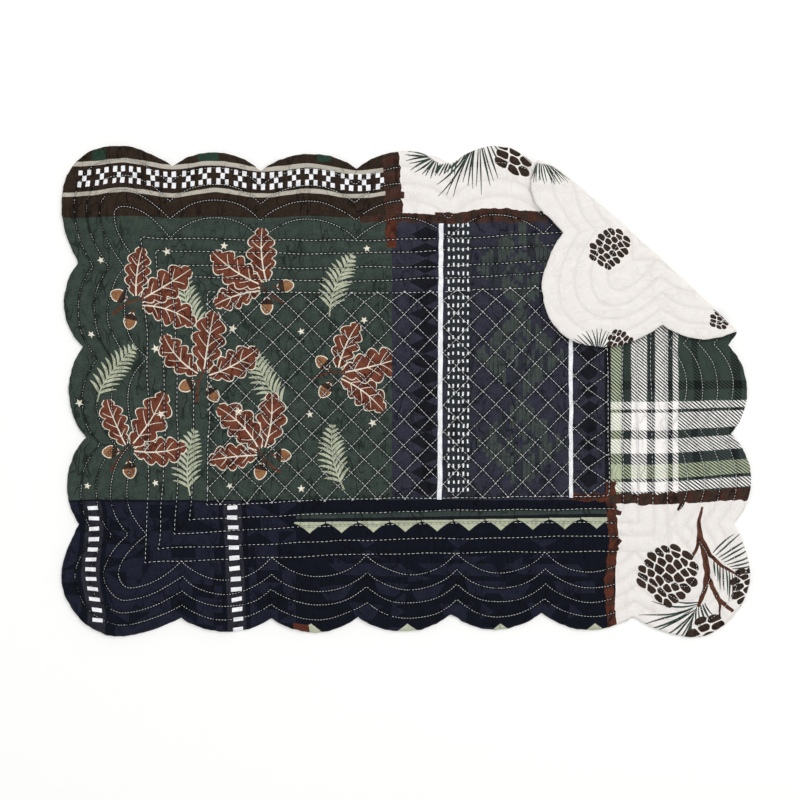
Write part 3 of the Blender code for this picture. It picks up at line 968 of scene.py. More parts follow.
# Dark band at the upper left: two grey stripes with groups of five white checks between.
checkBand = {
    "ground": ("brownBand", (-262, 116, -12.5, 192), (1.2, 20, 3)),
    "groups": 18,
    "firstAt": (-227.5, 150.7),
    "groupPitch": 12.35,
    "slope": -0.014,
    "check": (3.0, 3.9),
    "spread": (2.95, 4.0),
    "upperStripe": ((-262, 161.9), (-14, 154.6), 3.1),
    "lowerStripe": ((-262, 139.9), (-14, 138.3), 3.0),
    "greens": ((-222, 161.5, -213, 170), (-146, 159, -132, 167.5), (-63, 160, -53, 170)),
}


def bandPrint(dice):
    shapes = groundOf(checkBand)
    for patch in checkBand["greens"]:
        shapes.append(("darkGreen", ragged(box(*patch), 0.8, 6, patch[0])))
    for name in ("upperStripe", "lowerStripe"):
        start, end, width = checkBand[name]
        shapes.append(("greyStripe", stripBetween(start, end, width, 0.45, 7, width)))
    wide, high = checkBand["check"]
    for number in range(checkBand["groups"]):
        x = checkBand["firstAt"][0] + number * checkBand["groupPitch"] + dice.uniform(-0.4, 0.4)
        y = checkBand["firstAt"][1] + checkBand["slope"] * (x - checkBand["firstAt"][0])
        for column, row in ((-1, 1), (1, 1), (0, 0), (-1, -1), (1, -1)):
            spot = (x + column * checkBand["spread"][0], y + row * checkBand["spread"][1])
            w = wide / 2 * dice.uniform(0.88, 1.08)
            h = high / 2 * dice.uniform(0.88, 1.08)
            corners = box(-w, -h, w, h)
            check = [(a * dice.uniform(0.9, 1.05), b * dice.uniform(0.9, 1.05)) for a, b in corners]
            shapes.append(("whiteInk", placed(check, spot, dice.uniform(-0.06, 0.06))))
    return shapes


# Cream panel at the top: needles hang from its upper edge beside the end of a cone.
topSprays = {
    "ground": ("creamGround", (-5, 121, 262, 192), (0.8, 14, 5)),
    "needleWidth": 1.25,
    # where the needles start, first and last; the turn of the first and the last; lengths; count
    "sprays": (
        ((14.0, 165.0), (21.5, 161.5), (176, 258), (15, 19, 18, 17, 15, 10), 10),
        ((23.5, 160.5), (35.0, 163.5), (238, 258), (8, 11, 9, 12), 7),
        ((35.5, 163.0), (41.0, 168.0), (222, 236), (13, 10), 3),
        ((43.0, 168.0), (47.5, 170.5), (228, 269), (34, 38, 26, 33), 7),
        ((50.0, 170.5), (53.0, 171.5), (266, 288), (31, 33, 29), 4),
        ((55.5, 172.0), (60.0, 172.5), (290, 312), (25, 22, 14), 3),
    ),
    "cone": ((76.0, 166.0), 26, 26, -0.5, 5),
}


def topPrint(dice):
    shapes = groundOf(topSprays)
    for spray in topSprays["sprays"]:
        shapes += needles(*spray, topSprays["needleWidth"], dice)
    return shapes + pineCone(*topSprays["cone"], dice)


# Green panel at the left: a generic print of oak leaves, acorns, ferns and small stars.
greenPanel = {
    "ground": ("panelGreen", (-262, -82, -6, 122.2), (0.7, 16, 7)),
    "sprigs": (
        (-190, 62, 0.5), (-98, 72, 2.5), (-143, 9, 1.35),
        (-50, 12, 0.2), (-196, -42, 0.95), (-100, -44, 2.3),
    ),
    "ferns": (
        (-150, 62, 1.9), (-46, 74, 1.2), (-203, 12, 1.0),
        (-95, 8, 2.1), (-150, -50, 1.5), (-48, -46, 1.75),
    ),
    "stars": (
        (-216, 92), (-168, 98), (-122, 44), (-74, 42), (-30, 50), (-222, 40),
        (-176, 30), (-118, -14), (-68, -16), (-172, -16), (-228, -8), (-24, -22),
        (-124, -66), (-74, -68), (-176, -64), (-28, 100), (-128, 102), (-222, -66),
    ),
    "leafLength": 38,
    "leafWidth": 21,
    "fernLength": 46,
    "starSize": 3.0,
}


def oakLeaf(base, heading, length, width, dice):
    path = bentPath(base, ahead(base, heading, length), dice.uniform(-0.09, 0.09), 43)
    part = np.linspace(0, 1, 43)
    lobes = 0.52 + 0.48 * np.abs(np.sin(4.5 * math.pi * np.clip(part, 0.06, 1) ** 0.92)) ** 0.6
    widths = width * np.sin(math.pi * np.clip(part, 0.02, 0.985) ** 1.15) ** 0.55 * lobes
    veins = [("leafCream", stroke(path, (1.0, 0.9, 0.3)))]
    for place in (8, 17, 26):
        for side in (-1, 1):
            end = ahead(path[place], heading + side * 0.8, widths[place + 3] * 0.5)
            veins.append(("leafCream", stroke(bentPath(path[place], end, 0.05, 5), (0.55, 0.3))))
    return [("leafCream", stroke(path, widths + 1.5)), ("leafRust", stroke(path, widths))] + veins


def acorn(centre, angle, size):
    nut = []
    for t in np.linspace(0, 2 * math.pi, 18, endpoint=False):
        x = size * 0.42 * math.sin(t) * (1 - 0.25 * max(0, -math.cos(t)))
        nut.append((x, -size * 0.6 * math.cos(t) ** 3 * 0.25 - size * 0.45 * math.cos(t)))
    cap = []
    for t in np.linspace(-0.1, math.pi + 0.1, 12):
        cap.append((size * 0.5 * math.cos(t), size * 0.1 + size * 0.42 * max(0, math.sin(t))))
    line = bentPath((0, size * 0.5), (size * 0.12, size * 0.95), 0.15, 5)
    stem = stroke(line, (size * 0.13, size * 0.1))
    edge = [(x * 1.18, y * 1.12) for x, y in nut]
    parts = (("leafCream", edge), ("acornTan", nut), ("coneBrown", cap), ("twigBrown", stem))
    return [(ink, placed(shape, centre, angle)) for ink, shape in parts]


def oakSprig(x, y, heading, dice):
    shapes = []
    for turn, far in ((0.95, 0.92), (-0.85, 1.0), (0.05, 1.12)):
        angle = heading + turn
        size = far * dice.uniform(0.94, 1.04)
        long, wide = greenPanel["leafLength"] * size, greenPanel["leafWidth"] * size
        shapes += oakLeaf(ahead((x, y), angle, 5), angle, long, wide, dice)
    twig = bentPath(ahead((x, y), heading, -17), ahead((x, y), heading, 7), 0.08)
    shapes.append(("twigBrown", stroke(twig, (2.2, 1.6, 1.1))))
    for turn, far in ((2.2, 12), (-2.35, 13)):
        shapes += acorn(ahead((x, y), heading + turn, far), heading + turn + math.pi / 2, 9.5)
    return shapes


def fern(x, y, heading, dice):
    half = greenPanel["fernLength"] / 2
    path = bentPath(ahead((x, y), heading, -half), ahead((x, y), heading, half), 0.08, 25)
    shapes = [("sage", stroke(path, (1.1, 0.8, 0.35)))]
    for number in range(3, 24, 2):
        part = number / 24
        reach = 11.5 * math.sin(math.pi * min(1, 0.25 + part * 0.75)) ** 0.8 + 1.5
        step = path[number] - path[number - 1]
        along = math.atan2(step[1], step[0])
        for side in (-1, 1):
            angle = along + side * 0.95 + dice.uniform(-0.06, 0.06)
            frond = bentPath(path[number], ahead(path[number], angle, reach), -0.1 * side, 9)
            shapes.append(("sage", stroke(frond, (0.5, 1.9, 2.1, 1.5, 0.3))))
    return shapes


def star(x, y, size, angle):
    points = []
    for step in range(10):
        far = size if step % 2 == 0 else size * 0.42
        points.append(ahead((x, y), angle + math.pi * step / 5, far))
    return [("leafCream", points)]


def greenPrint(dice):
    shapes = groundOf(greenPanel)
    for x, y, heading in greenPanel["ferns"]:
        shapes += fern(x, y, heading, dice)
    for x, y, heading in greenPanel["sprigs"]:
        shapes += oakSprig(x, y, heading, dice)
    for x, y in greenPanel["stars"]:
        shapes += star(x, y, greenPanel["starSize"] * dice.uniform(0.8, 1.15), dice.uniform(0, 1))
    return shapes


# Navy panel in the middle: white stripes, rows of small dashes and dim woven-look diamonds.
navyPanel = {
    "ground": ("navy", (-10.5, -82, 144, 124), (0.5, 12, 9)),
    "arrows": ((2.5, 21.5, 110, -70, 11.1), (120.5, 133.5, 100, -66, 12.4)),
    "dashGround": (27.4, -76, 45.2, 119.5),
    "edgeStrip": (138.4, -77, 142.8, 119),
    "whiteStripes": (((23.9, 118), (22.9, -75.5), 3.2), ((114.8, 90), (114.8, -74.6), 2.7)),
    "dashColumns": (29.3, 32.6, 36.0, 39.3, 42.7),
    "dashRows": (116.6, -72.5, -5.62),
    "dash": (1.25, 2.7),
    "diamondsAt": (79.5, 88.0, 3),
    "diamond": (29.0, 62.0),
    "barWidth": 2.9,
}


def ikatBars(dice):  # stepped diamonds, each made of upright bars with uneven ends
    shapes = []
    wide, high = navyPanel["diamond"]
    middle, top, count = navyPanel["diamondsAt"]
    columns = int(wide / navyPanel["barWidth"])
    for number in range(count):
        y = top - number * high
        for column in range(-columns, columns + 1):
            away = abs(column) / (columns + 0.5)
            x = middle + column * navyPanel["barWidth"]
            for low, full in ((0.5, 1.08), (0.14, 0.4)):
                outer = full - away
                inner = max(0.0, low - away)
                if outer <= 0.06:
                    continue
                for side in (-1, 1):
                    if dice.random() < 0.06:
                        continue
                    start = y + side * inner * high / 2 * dice.uniform(0.9, 1.1)
                    end = y + side * outer * high / 2 * dice.uniform(0.88, 1.04)
                    half = navyPanel["barWidth"] * dice.uniform(0.36, 0.5)
                    slant = dice.uniform(-1.6, 1.6)
                    bar = [(x - half, start - slant), (x + half, start + slant)]
                    bar += [(x + half, end - slant), (x - half, end + slant)]
                    ink = "ikatGreen" if dice.random() < 0.82 else "charcoal"
                    shapes.append((ink, bar))
    return shapes


def arrowColumn(left, right, top, bottom, pitch, dice):  # dim pointed blocks one below another
    shapes = []
    middle = left + (right - left) * 0.55
    y = top
    while y > bottom:
        high = pitch * dice.uniform(0.44, 0.55)
        points = [(left + dice.uniform(-1, 1), y), (middle, y + high), (right, y + high * 0.35)]
        points += [(right - 1, y - high * 0.4), (middle - 1, y - high)]
        shapes.append(("navyDark", points))
        y -= pitch
    return shapes


def navyPrint(dice):
    leftArrows, rightArrows = navyPanel["arrows"]
    shapes = groundOf(navyPanel) + arrowColumn(*leftArrows, dice)
    shapes.append(("charcoal", ragged(box(*navyPanel["dashGround"]), 0.3, 9, 11)))
    shapes += ikatBars(dice) + arrowColumn(*rightArrows, dice)
    shapes.append(("navyDark", ragged(box(*navyPanel["edgeStrip"]), 0.3, 9, 12)))
    for start, end, width in navyPanel["whiteStripes"]:
        shapes.append(("whiteInk", stripBetween(start, end, width, 0.5, 9, width)))
    wide, high = (size / 2 for size in navyPanel["dash"])
    for y in np.arange(*navyPanel["dashRows"]):
        for x in navyPanel["dashColumns"]:
            tall = high * dice.uniform(0.75, 1.1)
            dash = box(-wide * dice.uniform(0.75, 1.1), -tall, wide * dice.uniform(0.75, 1.1), tall)
            spot = (x + dice.uniform(-0.3, 0.3), y + dice.uniform(-0.35, 0.35))
            shapes.append(("whiteInk", placed(dash, spot, dice.uniform(-0.12, 0.12))))
    return shapes


# Deep navy panel along the bottom: ladders of white bars, tone-on-tone blocks, a green
# stripe and a row of sage points.
bottomPanel = {
    "ground": ("deepNavy", (-262, -192, 146, -75.9), (0.9, 18, 13)),
    "shadedGround": (-262, -192, -77.7, -77.4),
    # tone-on-tone blocks: where, their ink, the share of places that have one, their pitch
    "blocks": (
        ((-240, -172, -77.7, -78), "deepNavy", 0.48, 15),
        ((-77, -172, 139, -112), "navyShade", 0.12, 13),
    ),
    "ladders": ((-220.9, -218.6, -81.6, -165, -7.25), (-122.4, -118.2, -81.2, -166, -7.0)),
    "rung": (7.3, 2.9),
    "stripe": ((-77.7, -87.2), (140, -83.6), 3.8),
    "shadow": ((-77.7, -90.2), (140, -86.7), 1.8),
    "points": (-68.1, 22.32, 10),
    "pointsAt": -92.6,
    "pointHigh": 6.9,
    "pointClimb": 0.0165,
    "edgeBits": (-67.2, 0.4, 65.5, 131.6),
    "edgeBit": ((0, -160.6), (-17, -175), (17, -175)),
    "rustPatch": (-79.5, -182, -68.2, -161.6),
    "starsAt": (-28.0, 35.0, 96.0),
    # blocks about each of those places: corners from the star's top
    "starBlocks": (
        ((-9, 0), (9, 0), (0, -7)), ((0, -7), (10, -14), (-10, -14)),
        ((-27, -17), (24, -17), (31, -25), (-19, -25)), ((6, -30), (29, -30), (19, -39), (9, -39)),
        ((-34, -33), (-9, -33), (-15, -43), (-28, -43)), ((-12, -46), (12, -46), (3, -58), (-7, -58)),
        ((17, -44), (27, -50), (16, -56)),
    ),
    # a ladder's dark ground and the darker seam on both its sides: where and how wide
    "grounds": ((0, 12.5, "plum"), (-8.2, 3.0, "deepNavy"), (8.2, 3.0, "deepNavy")),
    "groundReach": (-76.5, -182),
    "starTop": -103,
}


def toneBlocks(area, ink, share, pitch, dice):
    shapes = []
    left, bottom, right, top = area
    for x in np.arange(left, right - pitch / 2, pitch):
        for y in np.arange(bottom, top - pitch / 3, pitch * 0.62):
            if dice.random() > share:
                continue
            end = min(x + pitch * dice.uniform(0.8, 1.5), right)
            corners = box(x, y, end, min(y + pitch * 0.62, top))
            if dice.random() < 0.7:
                corners.pop(dice.randrange(4))
            block = [(a + dice.uniform(-0.3, 0.3), b + dice.uniform(-0.3, 0.3)) for a, b in corners]
            shapes.append((ink, block))
    return shapes


def bottomPrint(dice):
    shapes = groundOf(bottomPanel) + [("navyShade", box(*bottomPanel["shadedGround"]))]
    for blocks in bottomPanel["blocks"]:
        shapes += toneBlocks(*blocks, dice)
    for x in bottomPanel["starsAt"]:
        for block in bottomPanel["starBlocks"]:
            corners = []
            for a, b in block:
                aside = x + a + dice.uniform(-1, 1)
                corners.append((aside, b + bottomPanel["starTop"] + dice.uniform(-0.6, 0.6)))
            shapes.append(("navyShade", corners))
    wide, high = (size / 2 for size in bottomPanel["rung"])
    for x0, x1, top, bottom, pitch in bottomPanel["ladders"]:
        upper, lower = bottomPanel["groundReach"]
        for offset, width, ink in bottomPanel["grounds"]:
            start, end = (x0 + offset, upper), (x1 + offset, lower)
            shapes.append((ink, stripBetween(start, end, width, 0.4, 9, offset)))
        for y in np.arange(top, bottom, pitch):
            x = x0 + (x1 - x0) * (top - y) / (top - bottom) + dice.uniform(-0.4, 0.4)
            rung = box(-wide * dice.uniform(0.88, 1.08), -high * dice.uniform(0.75, 1.1), wide, high)
            shapes.append(("whiteInk", placed(rung, (x, y), dice.uniform(-0.06, 0.09))))
    for name, ink in (("stripe", "stripeGreen"), ("shadow", "navyDark")):
        start, end, width = bottomPanel[name]
        shapes.append((ink, stripBetween(start, end, width, 0.35, 9, width)))
    start, pitch, count = bottomPanel["points"]
    for number in range(count):  # flat above, with two hollow sides that meet in a point
        x = start + number * pitch
        y = bottomPanel["pointsAt"] + (x + 77.7) * bottomPanel["pointClimb"]
        half = pitch / 2 - 0.4
        part = np.linspace(-1, 1, 15)
        hollow = bottomPanel["pointHigh"] * (1 - np.abs(part)) ** 1.45
        lower = np.column_stack((x + half * part, y - hollow))[::-1]
        shapes.append(("sage", np.concatenate(([(x - half, y + 1.1), (x + half, y + 1.1)], lower))))
    for x in bottomPanel["edgeBits"]:
        shapes.append(("sage", [(x + aside, y) for aside, y in bottomPanel["edgeBit"]]))
    shapes.append(("barkRust", ragged(box(*bottomPanel["rustPatch"]), 0.6, 6, 14)))
    return shapes


# Cream corner at the lower right: a pine branch with cones.
cornerSpray = {
    "ground": ("creamGround", (147, -192, 262, -76), (0.6, 14, 15)),
    "bark": (
        (
            ((207.4, -81.5), (205.6, -92), (207.0, -106), (208.5, -127), (207.9, -139), (204.4, -150)),
            (1.7, 3.7, 4.2, 4.1, 3.0),
        ),
        (((205.4, -99), (203.6, -108), (198.2, -117.4)), (2.4, 2.2, 1.5)),
        (((206.8, -102), (211.4, -114.5), (219.0, -123.0), (232.8, -131.9)), (3.2, 3.0, 2.2, 1.7)),
        (((208.6, -128.0), (213.2, -138), (218.3, -146.4), (229.8, -155.8)), (2.6, 3.0, 2.9, 2.4)),
        (((218.8, -147), (220.6, -152), (220.4, -159.4)), (2.0, 1.7, 1.3)),
    ),
    "needleWidth": 1.3,
    "sprays": (
        ((213.5, -113.0), (229.5, -128.5), (40, 6), (24, 27, 24, 19, 12), 10),
        ((213.5, -118.0), (229.5, -131.5), (-90, -76), (13, 20, 22, 14), 9),
        ((206.5, -146.5), (199.0, -152.0), (172, 208), (23, 38, 42, 44), 5),
        ((203.0, -151.5), (200.5, -160.0), (212, 262), (36, 33, 30, 26), 8),
        ((203.5, -150.0), (209.0, -148.0), (268, 308), (13, 15, 13, 14), 5),
    ),
    "cones": (
        ((182.2, -127.6), 39, 37, -0.72, 8), ((238.5, -138.5), 28, 22, 0.35, 6),
        ((211.5, -169.5), 22, 27, 0.12, 4),
    ),
}


def cornerPrint(dice):
    shapes = groundOf(cornerSpray)
    for spray in cornerSpray["sprays"]:
        shapes += needles(*spray, cornerSpray["needleWidth"], dice)
    for number, (path, widths) in enumerate(cornerSpray["bark"]):
        line = evenly(path, 2.0, False)
        shapes.append(("twigBrown", wobbled(stroke(line, widths), 0.5, 4, 80 + number)))
    for cone in cornerSpray["cones"]:
        shapes += pineCone(*cone, dice)
    return shapes


# Bark-like bars that part the panels: a line, its width and its ink.
barkBars = (
    (((-12.8, 182), (-10.5, 150), (-8.4, 118)), 11.6, "barkBrown"),
    (((-6.5, 136.5), (-1.5, 136.0)), 4.4, "barkBrown"),
    (((-33, 121.0), (24, 121.6)), 5.6, "barkBrown"),
    (((20, 121.6), (98, 123.4)), 8.6, "barkBrown"),
    (((-10.6, 122), (-10.9, 100.5)), 7.2, "barkRust"),
    (
        (
            (142.6, -62), (142.8, -74), (144.2, -94), (144.6, -110),
            (141.6, -130), (141.8, -142), (143.4, -158), (144, -182),
        ),
        6.6, "barkRust",
    ),
    (((145.8, -84), (150.2, -85.4)), 3.4, "barkBrown"),
    (((145.8, -104), (149.2, -106.4)), 5.0, "barkBrown"),
    (((139.6, -75.4), (262, -74.6)), 7.6, "barkBrown"),
    (((116.4, -74.0), (141, -73.9)), 5.6, "barkRust"),
    (((193.5, -77), (190.0, -83.0)), 2.6, "barkBrown"),
)


def barkPrint():
    shapes = []
    for number, (path, width, ink) in enumerate(barkBars):
        line = evenly(path, meshing["print"], False)
        shapes.append((ink, wobbled(stroke(line, (width, width)), 1.5, 4.0, 30 + number)))
        darker = "barkBrown" if ink == "barkRust" else "coneBrown"
        for step in range(1, len(line) - 4, 6):  # darker blocks along the bar
            if (step * 5 + number) % 3:
                block = stroke(line[step : step + 4], (width * 0.8, width * 0.8))
                shapes.append((darker, wobbled(block, 1.6, 3.0, step + number * 9)))
    return shapes


def frontPrint():
    dice = random.Random(4)
    shapes = []
    for printOf in (topPrint, bandPrint, greenPrint, navyPrint, bottomPrint):
        shapes += printOf(dice)
    shapes.append(("plaid", box(*plaidLook["ground"])))
    shapes += cornerPrint(dice) + barkPrint()
    return [(ink, pulled(shape)) for ink, shape in shapes]


# Quilting draws the print in at the notches and lets it out on the lobes.
printPull = {
    "amount": 1.8,
    "pitch": 68,  # from the last notch of a side to the corner's
    "edges": (("top", 1, 1, 140), ("bottom", 1, -1, 140), ("left", 0, -1, 214), ("right", 0, 1, 214)),
    "reach": 30,  # how far inwards from those edges it is felt
    "rightClimb": 4.2,  # the plaid's lower stripes rise towards the right edge
    "climbGrows": (170, 250),
    "climbFrom": (-90, -70),
    "climbTo": (-45, 20),
}


def pulled(points):
    points = np.array(points, float)
    shift = np.zeros_like(points)
    for side, axis, sign, edge in printPull["edges"]:
        notches = sorted(row[2 - axis] for row in matPlan["notches"] if row[0] == side)
        notches = [notches[0] - printPull["pitch"]] + notches + [notches[-1] + printPull["pitch"]]
        wave = -np.cos(2 * math.pi * np.interp(points[:, 1 - axis], notches, range(len(notches))))
        near = eased(sign * points[:, axis], edge - printPull["reach"], edge)
        shift[:, axis] += sign * printPull["amount"] * wave * near
    x, y = points.T
    level = eased(y, *printPull["climbFrom"]) * (1 - eased(y, *printPull["climbTo"]))
    shift[:, 1] += printPull["rightClimb"] * eased(x, *printPull["climbGrows"]) * level
    return points + shift


# Cream back with small cones and needle sprigs. Those on the folded corner are given
# where they are seen, and turned over to their flat places.
backMotifs = {
    "cones": (
        ((141.8, 100.0), 29, 23, -0.75, 8), ((149.0, 34.6), 17, 15, 0.9, 6),
        ((219.5, 51.5), 16, 13, -0.5, 6),
    ),
    "sprigs": (
        ((128.0, 29.5), (136.5, 30.0), (172, 52), (12, 15, 14, 16, 13, 12), 12),
        ((89.5, 160.0), (101.0, 160.0), (258, 318), (14, 14, 16, 19), 15),
    ),
    "needleWidth": 1.0,
    "scatterPitch": 62,
    "clearOfCorner": -24,
}


def turnedOver(points):  # from where the corner's back is seen to its flat place
    out, along = pastFold(points)
    along += fold["startSlide"] * nearStart(along)
    return onMat(foldEnd() - (out + drawnIn(along)) / flapReach(along), along)


def backPrint():
    dice = random.Random(9)
    shapes = []
    for cone in backMotifs["cones"]:
        shapes += pineCone(*cone, dice)
    for sprig in backMotifs["sprigs"]:
        shapes += needles(*sprig, backMotifs["needleWidth"], dice)
    shapes = [(ink, turnedOver(shape)) for ink, shape in shapes]
    pitch = backMotifs["scatterPitch"]
    for column in range(-4, 5):
        for row in range(-3, 4):
            x = column * pitch + (row % 2) * pitch / 2 + dice.uniform(-6, 6)
            y = row * pitch * 0.8 + dice.uniform(-5, 5)
            if pastFold([(x, y)])[0][0] > backMotifs["clearOfCorner"]:
                continue
            if (column + row) % 2:
                shapes += pineCone((x, y), 25, 23, dice.uniform(0, 6), 6, dice)
                continue
            turn = dice.uniform(0, 360)
            sprig = ((x, y), (x + 3, y), (turn, turn + 95), (14, 17, 15), 11)
            shapes += needles(*sprig, backMotifs["needleWidth"], dice)
    return shapes


# Printed plaid: stripes both ways in the ink of a woven twill, which shows as slanting
# hatch wherever the two stripes that cross differ.
plaidLook = {
    "ground": (142.6, -74, 262, 121),
    "relief": 0.8,
    "hatchPitch": 2.4,  # mm from one slanting line to the one above
    "hatchLean": 0.85,
    "hatchWaver": 0.14,
    "waverLength": 11,
    "teeth": 1.4,  # how far the hatch runs past the edge of a stripe
    "inset": 0.9,  # how far the stripes lie from their given places
    "warpSpan": (140.0, 262.0),
    "warp": (
        (140.0, "#23282a"), (142.2, "#b3bb9e"), (149.6, "#2a3130"), (156.5, "#f0edea"),
        (167.3, "#25292e"), (173.2, "#f0edea"), (182.2, "#1e2223"), (185.3, "#f0edea"),
        (189.2, "#36413b"), (199.2, "#121715"), (204.0, "#36413b"), (227.0, "#121715"),
        (232.4, "#36413b"),
    ),
    "weftSpan": (-76.0, 121.0),
    "weft": (
        (-76.0, "#20262a"), (-70.0, "#f0edea"), (-63.2, "#20282a"), (-60.8, "#adb598"),
        (-50.8, "#262d30"), (-43.6, "#f0edea"), (-33.2, "#262c2e"), (-27.0, "#f0edea"),
        (-14.6, "#20262a"), (-12.4, "#f0edea"), (-7.4, "#333e38"), (1.6, "#121715"),
        (7.4, "#333e38"), (52.0, "#121715"), (60.0, "#333e38"), (78.0, "#f0edea"),
        (92.0, "#333e38"),
    ),
}


def plaidCotton():
    material = newMaterial("plaidPrint")
    tree = material.node_tree
    surface = addNode(tree, "ShaderNodeGroup", {"node_tree": surfaceGroup}, {"Relief": plaidLook["relief"]})
    flat = addNode(tree, "ShaderNodeUVMap", {"uv_map": "flat"}).outputs[0]
    cloudy = {"Scale": 1 / (plaidLook["waverLength"] * mm), "Detail": 0.0}
    shaky = addNode(tree, "ShaderNodeTexNoise", {}, cloudy, {"Vector": flat})
    place = addNode(tree, "ShaderNodeSeparateXYZ", {}, {}, {"Vector": flat})
    found = {"X": place.outputs["X"], "Y": place.outputs["Y"]}
    found.update({"shaky": shaky.outputs["Fac"], "ink": surface.outputs["InkAndShade"]})
    workOut(tree, found, (
        ("waver", "MULTIPLY", "shaky", 4 * plaidLook["hatchWaver"] * mm),
        ("slant", "MULTIPLY_ADD", "X", plaidLook["hatchLean"], "Y"),
        ("wavy", "ADD", "slant", "waver"),
        ("turns", "MULTIPLY", "wavy", 1 / (plaidLook["hatchPitch"] * mm)),
        ("phase", "FRACT", "turns"),
        ("teeth", "MULTIPLY_ADD", "phase", plaidLook["teeth"] * mm, "waver"),
        ("over", "GREATER_THAN", "phase", 0.5),
        # the ink's mottling and its painted shade of grooves and creases scale the plaid's colour
        ("shade", "LINEAR", "ink", 0.36, 0.72, 1.1, 0.8),
    ))
    stripes = []
    for axis, name in (("X", "warp"), ("Y", "weft")):
        start, end = plaidLook[name + "Span"]
        low, high = ((edge + plaidLook["inset"]) * mm for edge in (start, end))
        workOut(tree, found, (
            ("shifted", "ADD", axis, "teeth"),
            ("part", "LINEAR", "shifted", low, high, 0.0, 1.0),
        ))
        ramp = addNode(tree, "ShaderNodeValToRGB", {}, {}, {"Fac": found["part"]})
        ramp.color_ramp.interpolation = "CONSTANT"
        stops = [((at - start) / (end - start), colour(code)) for at, code in plaidLook[name]]
        fillRamp(ramp.color_ramp, stops)
        stripes.append(ramp.outputs["Color"])
    crossed = {"Factor": found["over"], 6: stripes[0], 7: stripes[1]}
    twill = addNode(tree, "ShaderNodeMix", {"data_type": "RGBA"}, {}, crossed)
    shading = {0: twill.outputs[2], "Scale": found["shade"]}
    inked = addNode(tree, "ShaderNodeVectorMath", {"operation": "SCALE"}, {}, shading)
    finishCotton(tree, inked.outputs[0], surface.outputs["Normal"])
    return material


# Quilting thread, spun polyester of two twisted plies: matt and cream, with a soft sheen.
stitching = {
    "echo": {"Pitch": 2.05, "Length": 1.55, "Thickness": 0.37},
    "rectangle": {"Pitch": 3.2, "Length": 2.45, "Thickness": 0.38},
    "lattice": {"Pitch": 2.5, "Length": 2.55, "Thickness": 0.36},
    "unevenness": 0.25,
    "lift": 0.1,
    "sunkAtLeft": 0.2,  # the outer rows at the left are pulled deep into the cloth
    "sunkGrows": (200, 213),
    "fibres": 0.8,
    "fibreDepth": 0.08,
    "roughness": 0.62,
    "sheen": 0.2,
    "colours": ("#dcdddc", "#f5f6f5"),
}


def spunThread():
    material = newMaterial("spunPolyesterThread")
    tree = material.node_tree
    place = addNode(tree, "ShaderNodeTexCoord").outputs["Object"]
    fibres = {"Scale": 1 / (stitching["fibres"] * mm), "Detail": 3.0}
    fuzz = addNode(tree, "ShaderNodeTexNoise", {}, fibres, {"Vector": place})
    shade = addNode(tree, "ShaderNodeValToRGB", {}, {}, {"Fac": fuzz.outputs["Fac"]})
    low, high = stitching["colours"]
    fillRamp(shade.color_ramp, [(0.3, colour(low)), (0.7, colour(high))])
    depth = {"Strength": 0.6, "Distance": stitching["fibreDepth"] * mm}
    bump = addNode(tree, "ShaderNodeBump", {}, depth, {"Height": fuzz.outputs["Fac"]})
    look = {"Roughness": stitching["roughness"], "Sheen Weight": stitching["sheen"]}
    links = {"Base Color": shade.outputs["Color"], "Normal": bump.outputs[0]}
    shader = addNode(tree, "ShaderNodeBsdfPrincipled", {}, look, links)
    addNode(tree, "ShaderNodeOutputMaterial", {}, {}, {"Surface": shader.outputs[0]})
    return material


def stitchTree():  # a bead on each place of a line that the next stitch reaches
    inputs = ("Pitch", "Length", "Thickness", "Shortest")
    sockets = [("Geometry", "INPUT", "Geometry")] + [(name, "INPUT", "Float") for name in inputs]
    sockets += [("Seed", "INPUT", "Int"), ("Thread", "INPUT", "Material"), ("Geometry", "OUTPUT", "Geometry")]
    tree = newGroup("rowOfStitches", "GeometryNodeTree", sockets)
    given = addNode(tree, "NodeGroupInput").outputs
    line = addNode(tree, "GeometryNodeMeshToCurve", {}, {}, {"Mesh": given["Geometry"]})
    spaced = {"Curve": line.outputs[0], "Length": given["Pitch"]}
    even = addNode(tree, "GeometryNodeResampleCurve", {"mode": "LENGTH"}, {}, spaced)
    everyPoint = {"mode": "EVALUATED"}
    spots = addNode(tree, "GeometryNodeCurveToPoints", everyPoint, {}, {"Curve": even.outputs[0]})
    bead = addNode(tree, "GeometryNodeMeshUVSphere", {}, {"Segments": 5, "Rings": 4, "Radius": 0.5})
    sizes = {"X": given["Thickness"], "Y": given["Thickness"], "Z": given["Length"]}
    size = addNode(tree, "ShaderNodeCombineXYZ", {}, {}, sizes)
    sized = {"Geometry": bead.outputs["Mesh"], "Scale": size.outputs[0]}
    stitch = addNode(tree, "GeometryNodeTransform", {}, {}, sized)
    drawn = {2: given["Shortest"], "Seed": given["Seed"]}
    vary = addNode(tree, "FunctionNodeRandomValue", {"data_type": "FLOAT"}, {3: 1.04}, drawn)
    scale = addNode(tree, "ShaderNodeCombineXYZ", {}, {"X": 1.0, "Y": 1.0}, {"Z": vary.outputs[1]})
    rows = addNode(tree, "GeometryNodeInstanceOnPoints", {}, {}, {
        "Points": spots.outputs["Points"], "Instance": stitch.outputs[0],
        "Rotation": spots.outputs["Rotation"], "Scale": scale.outputs[0],
    })
    real = addNode(tree, "GeometryNodeRealizeInstances", {}, {}, {"Geometry": rows.outputs[0]})
    smooth = addNode(tree, "GeometryNodeSetShadeSmooth", {}, {}, {"Geometry": real.outputs[0]})
    spun = {"Geometry": smooth.outputs[0], "Material": given["Thread"]}
    dressed = addNode(tree, "GeometryNodeSetMaterial", {}, {}, spun)
    addNode(tree, "NodeGroupOutput", {}, {}, {"Geometry": dressed.outputs[0]})
    return tree


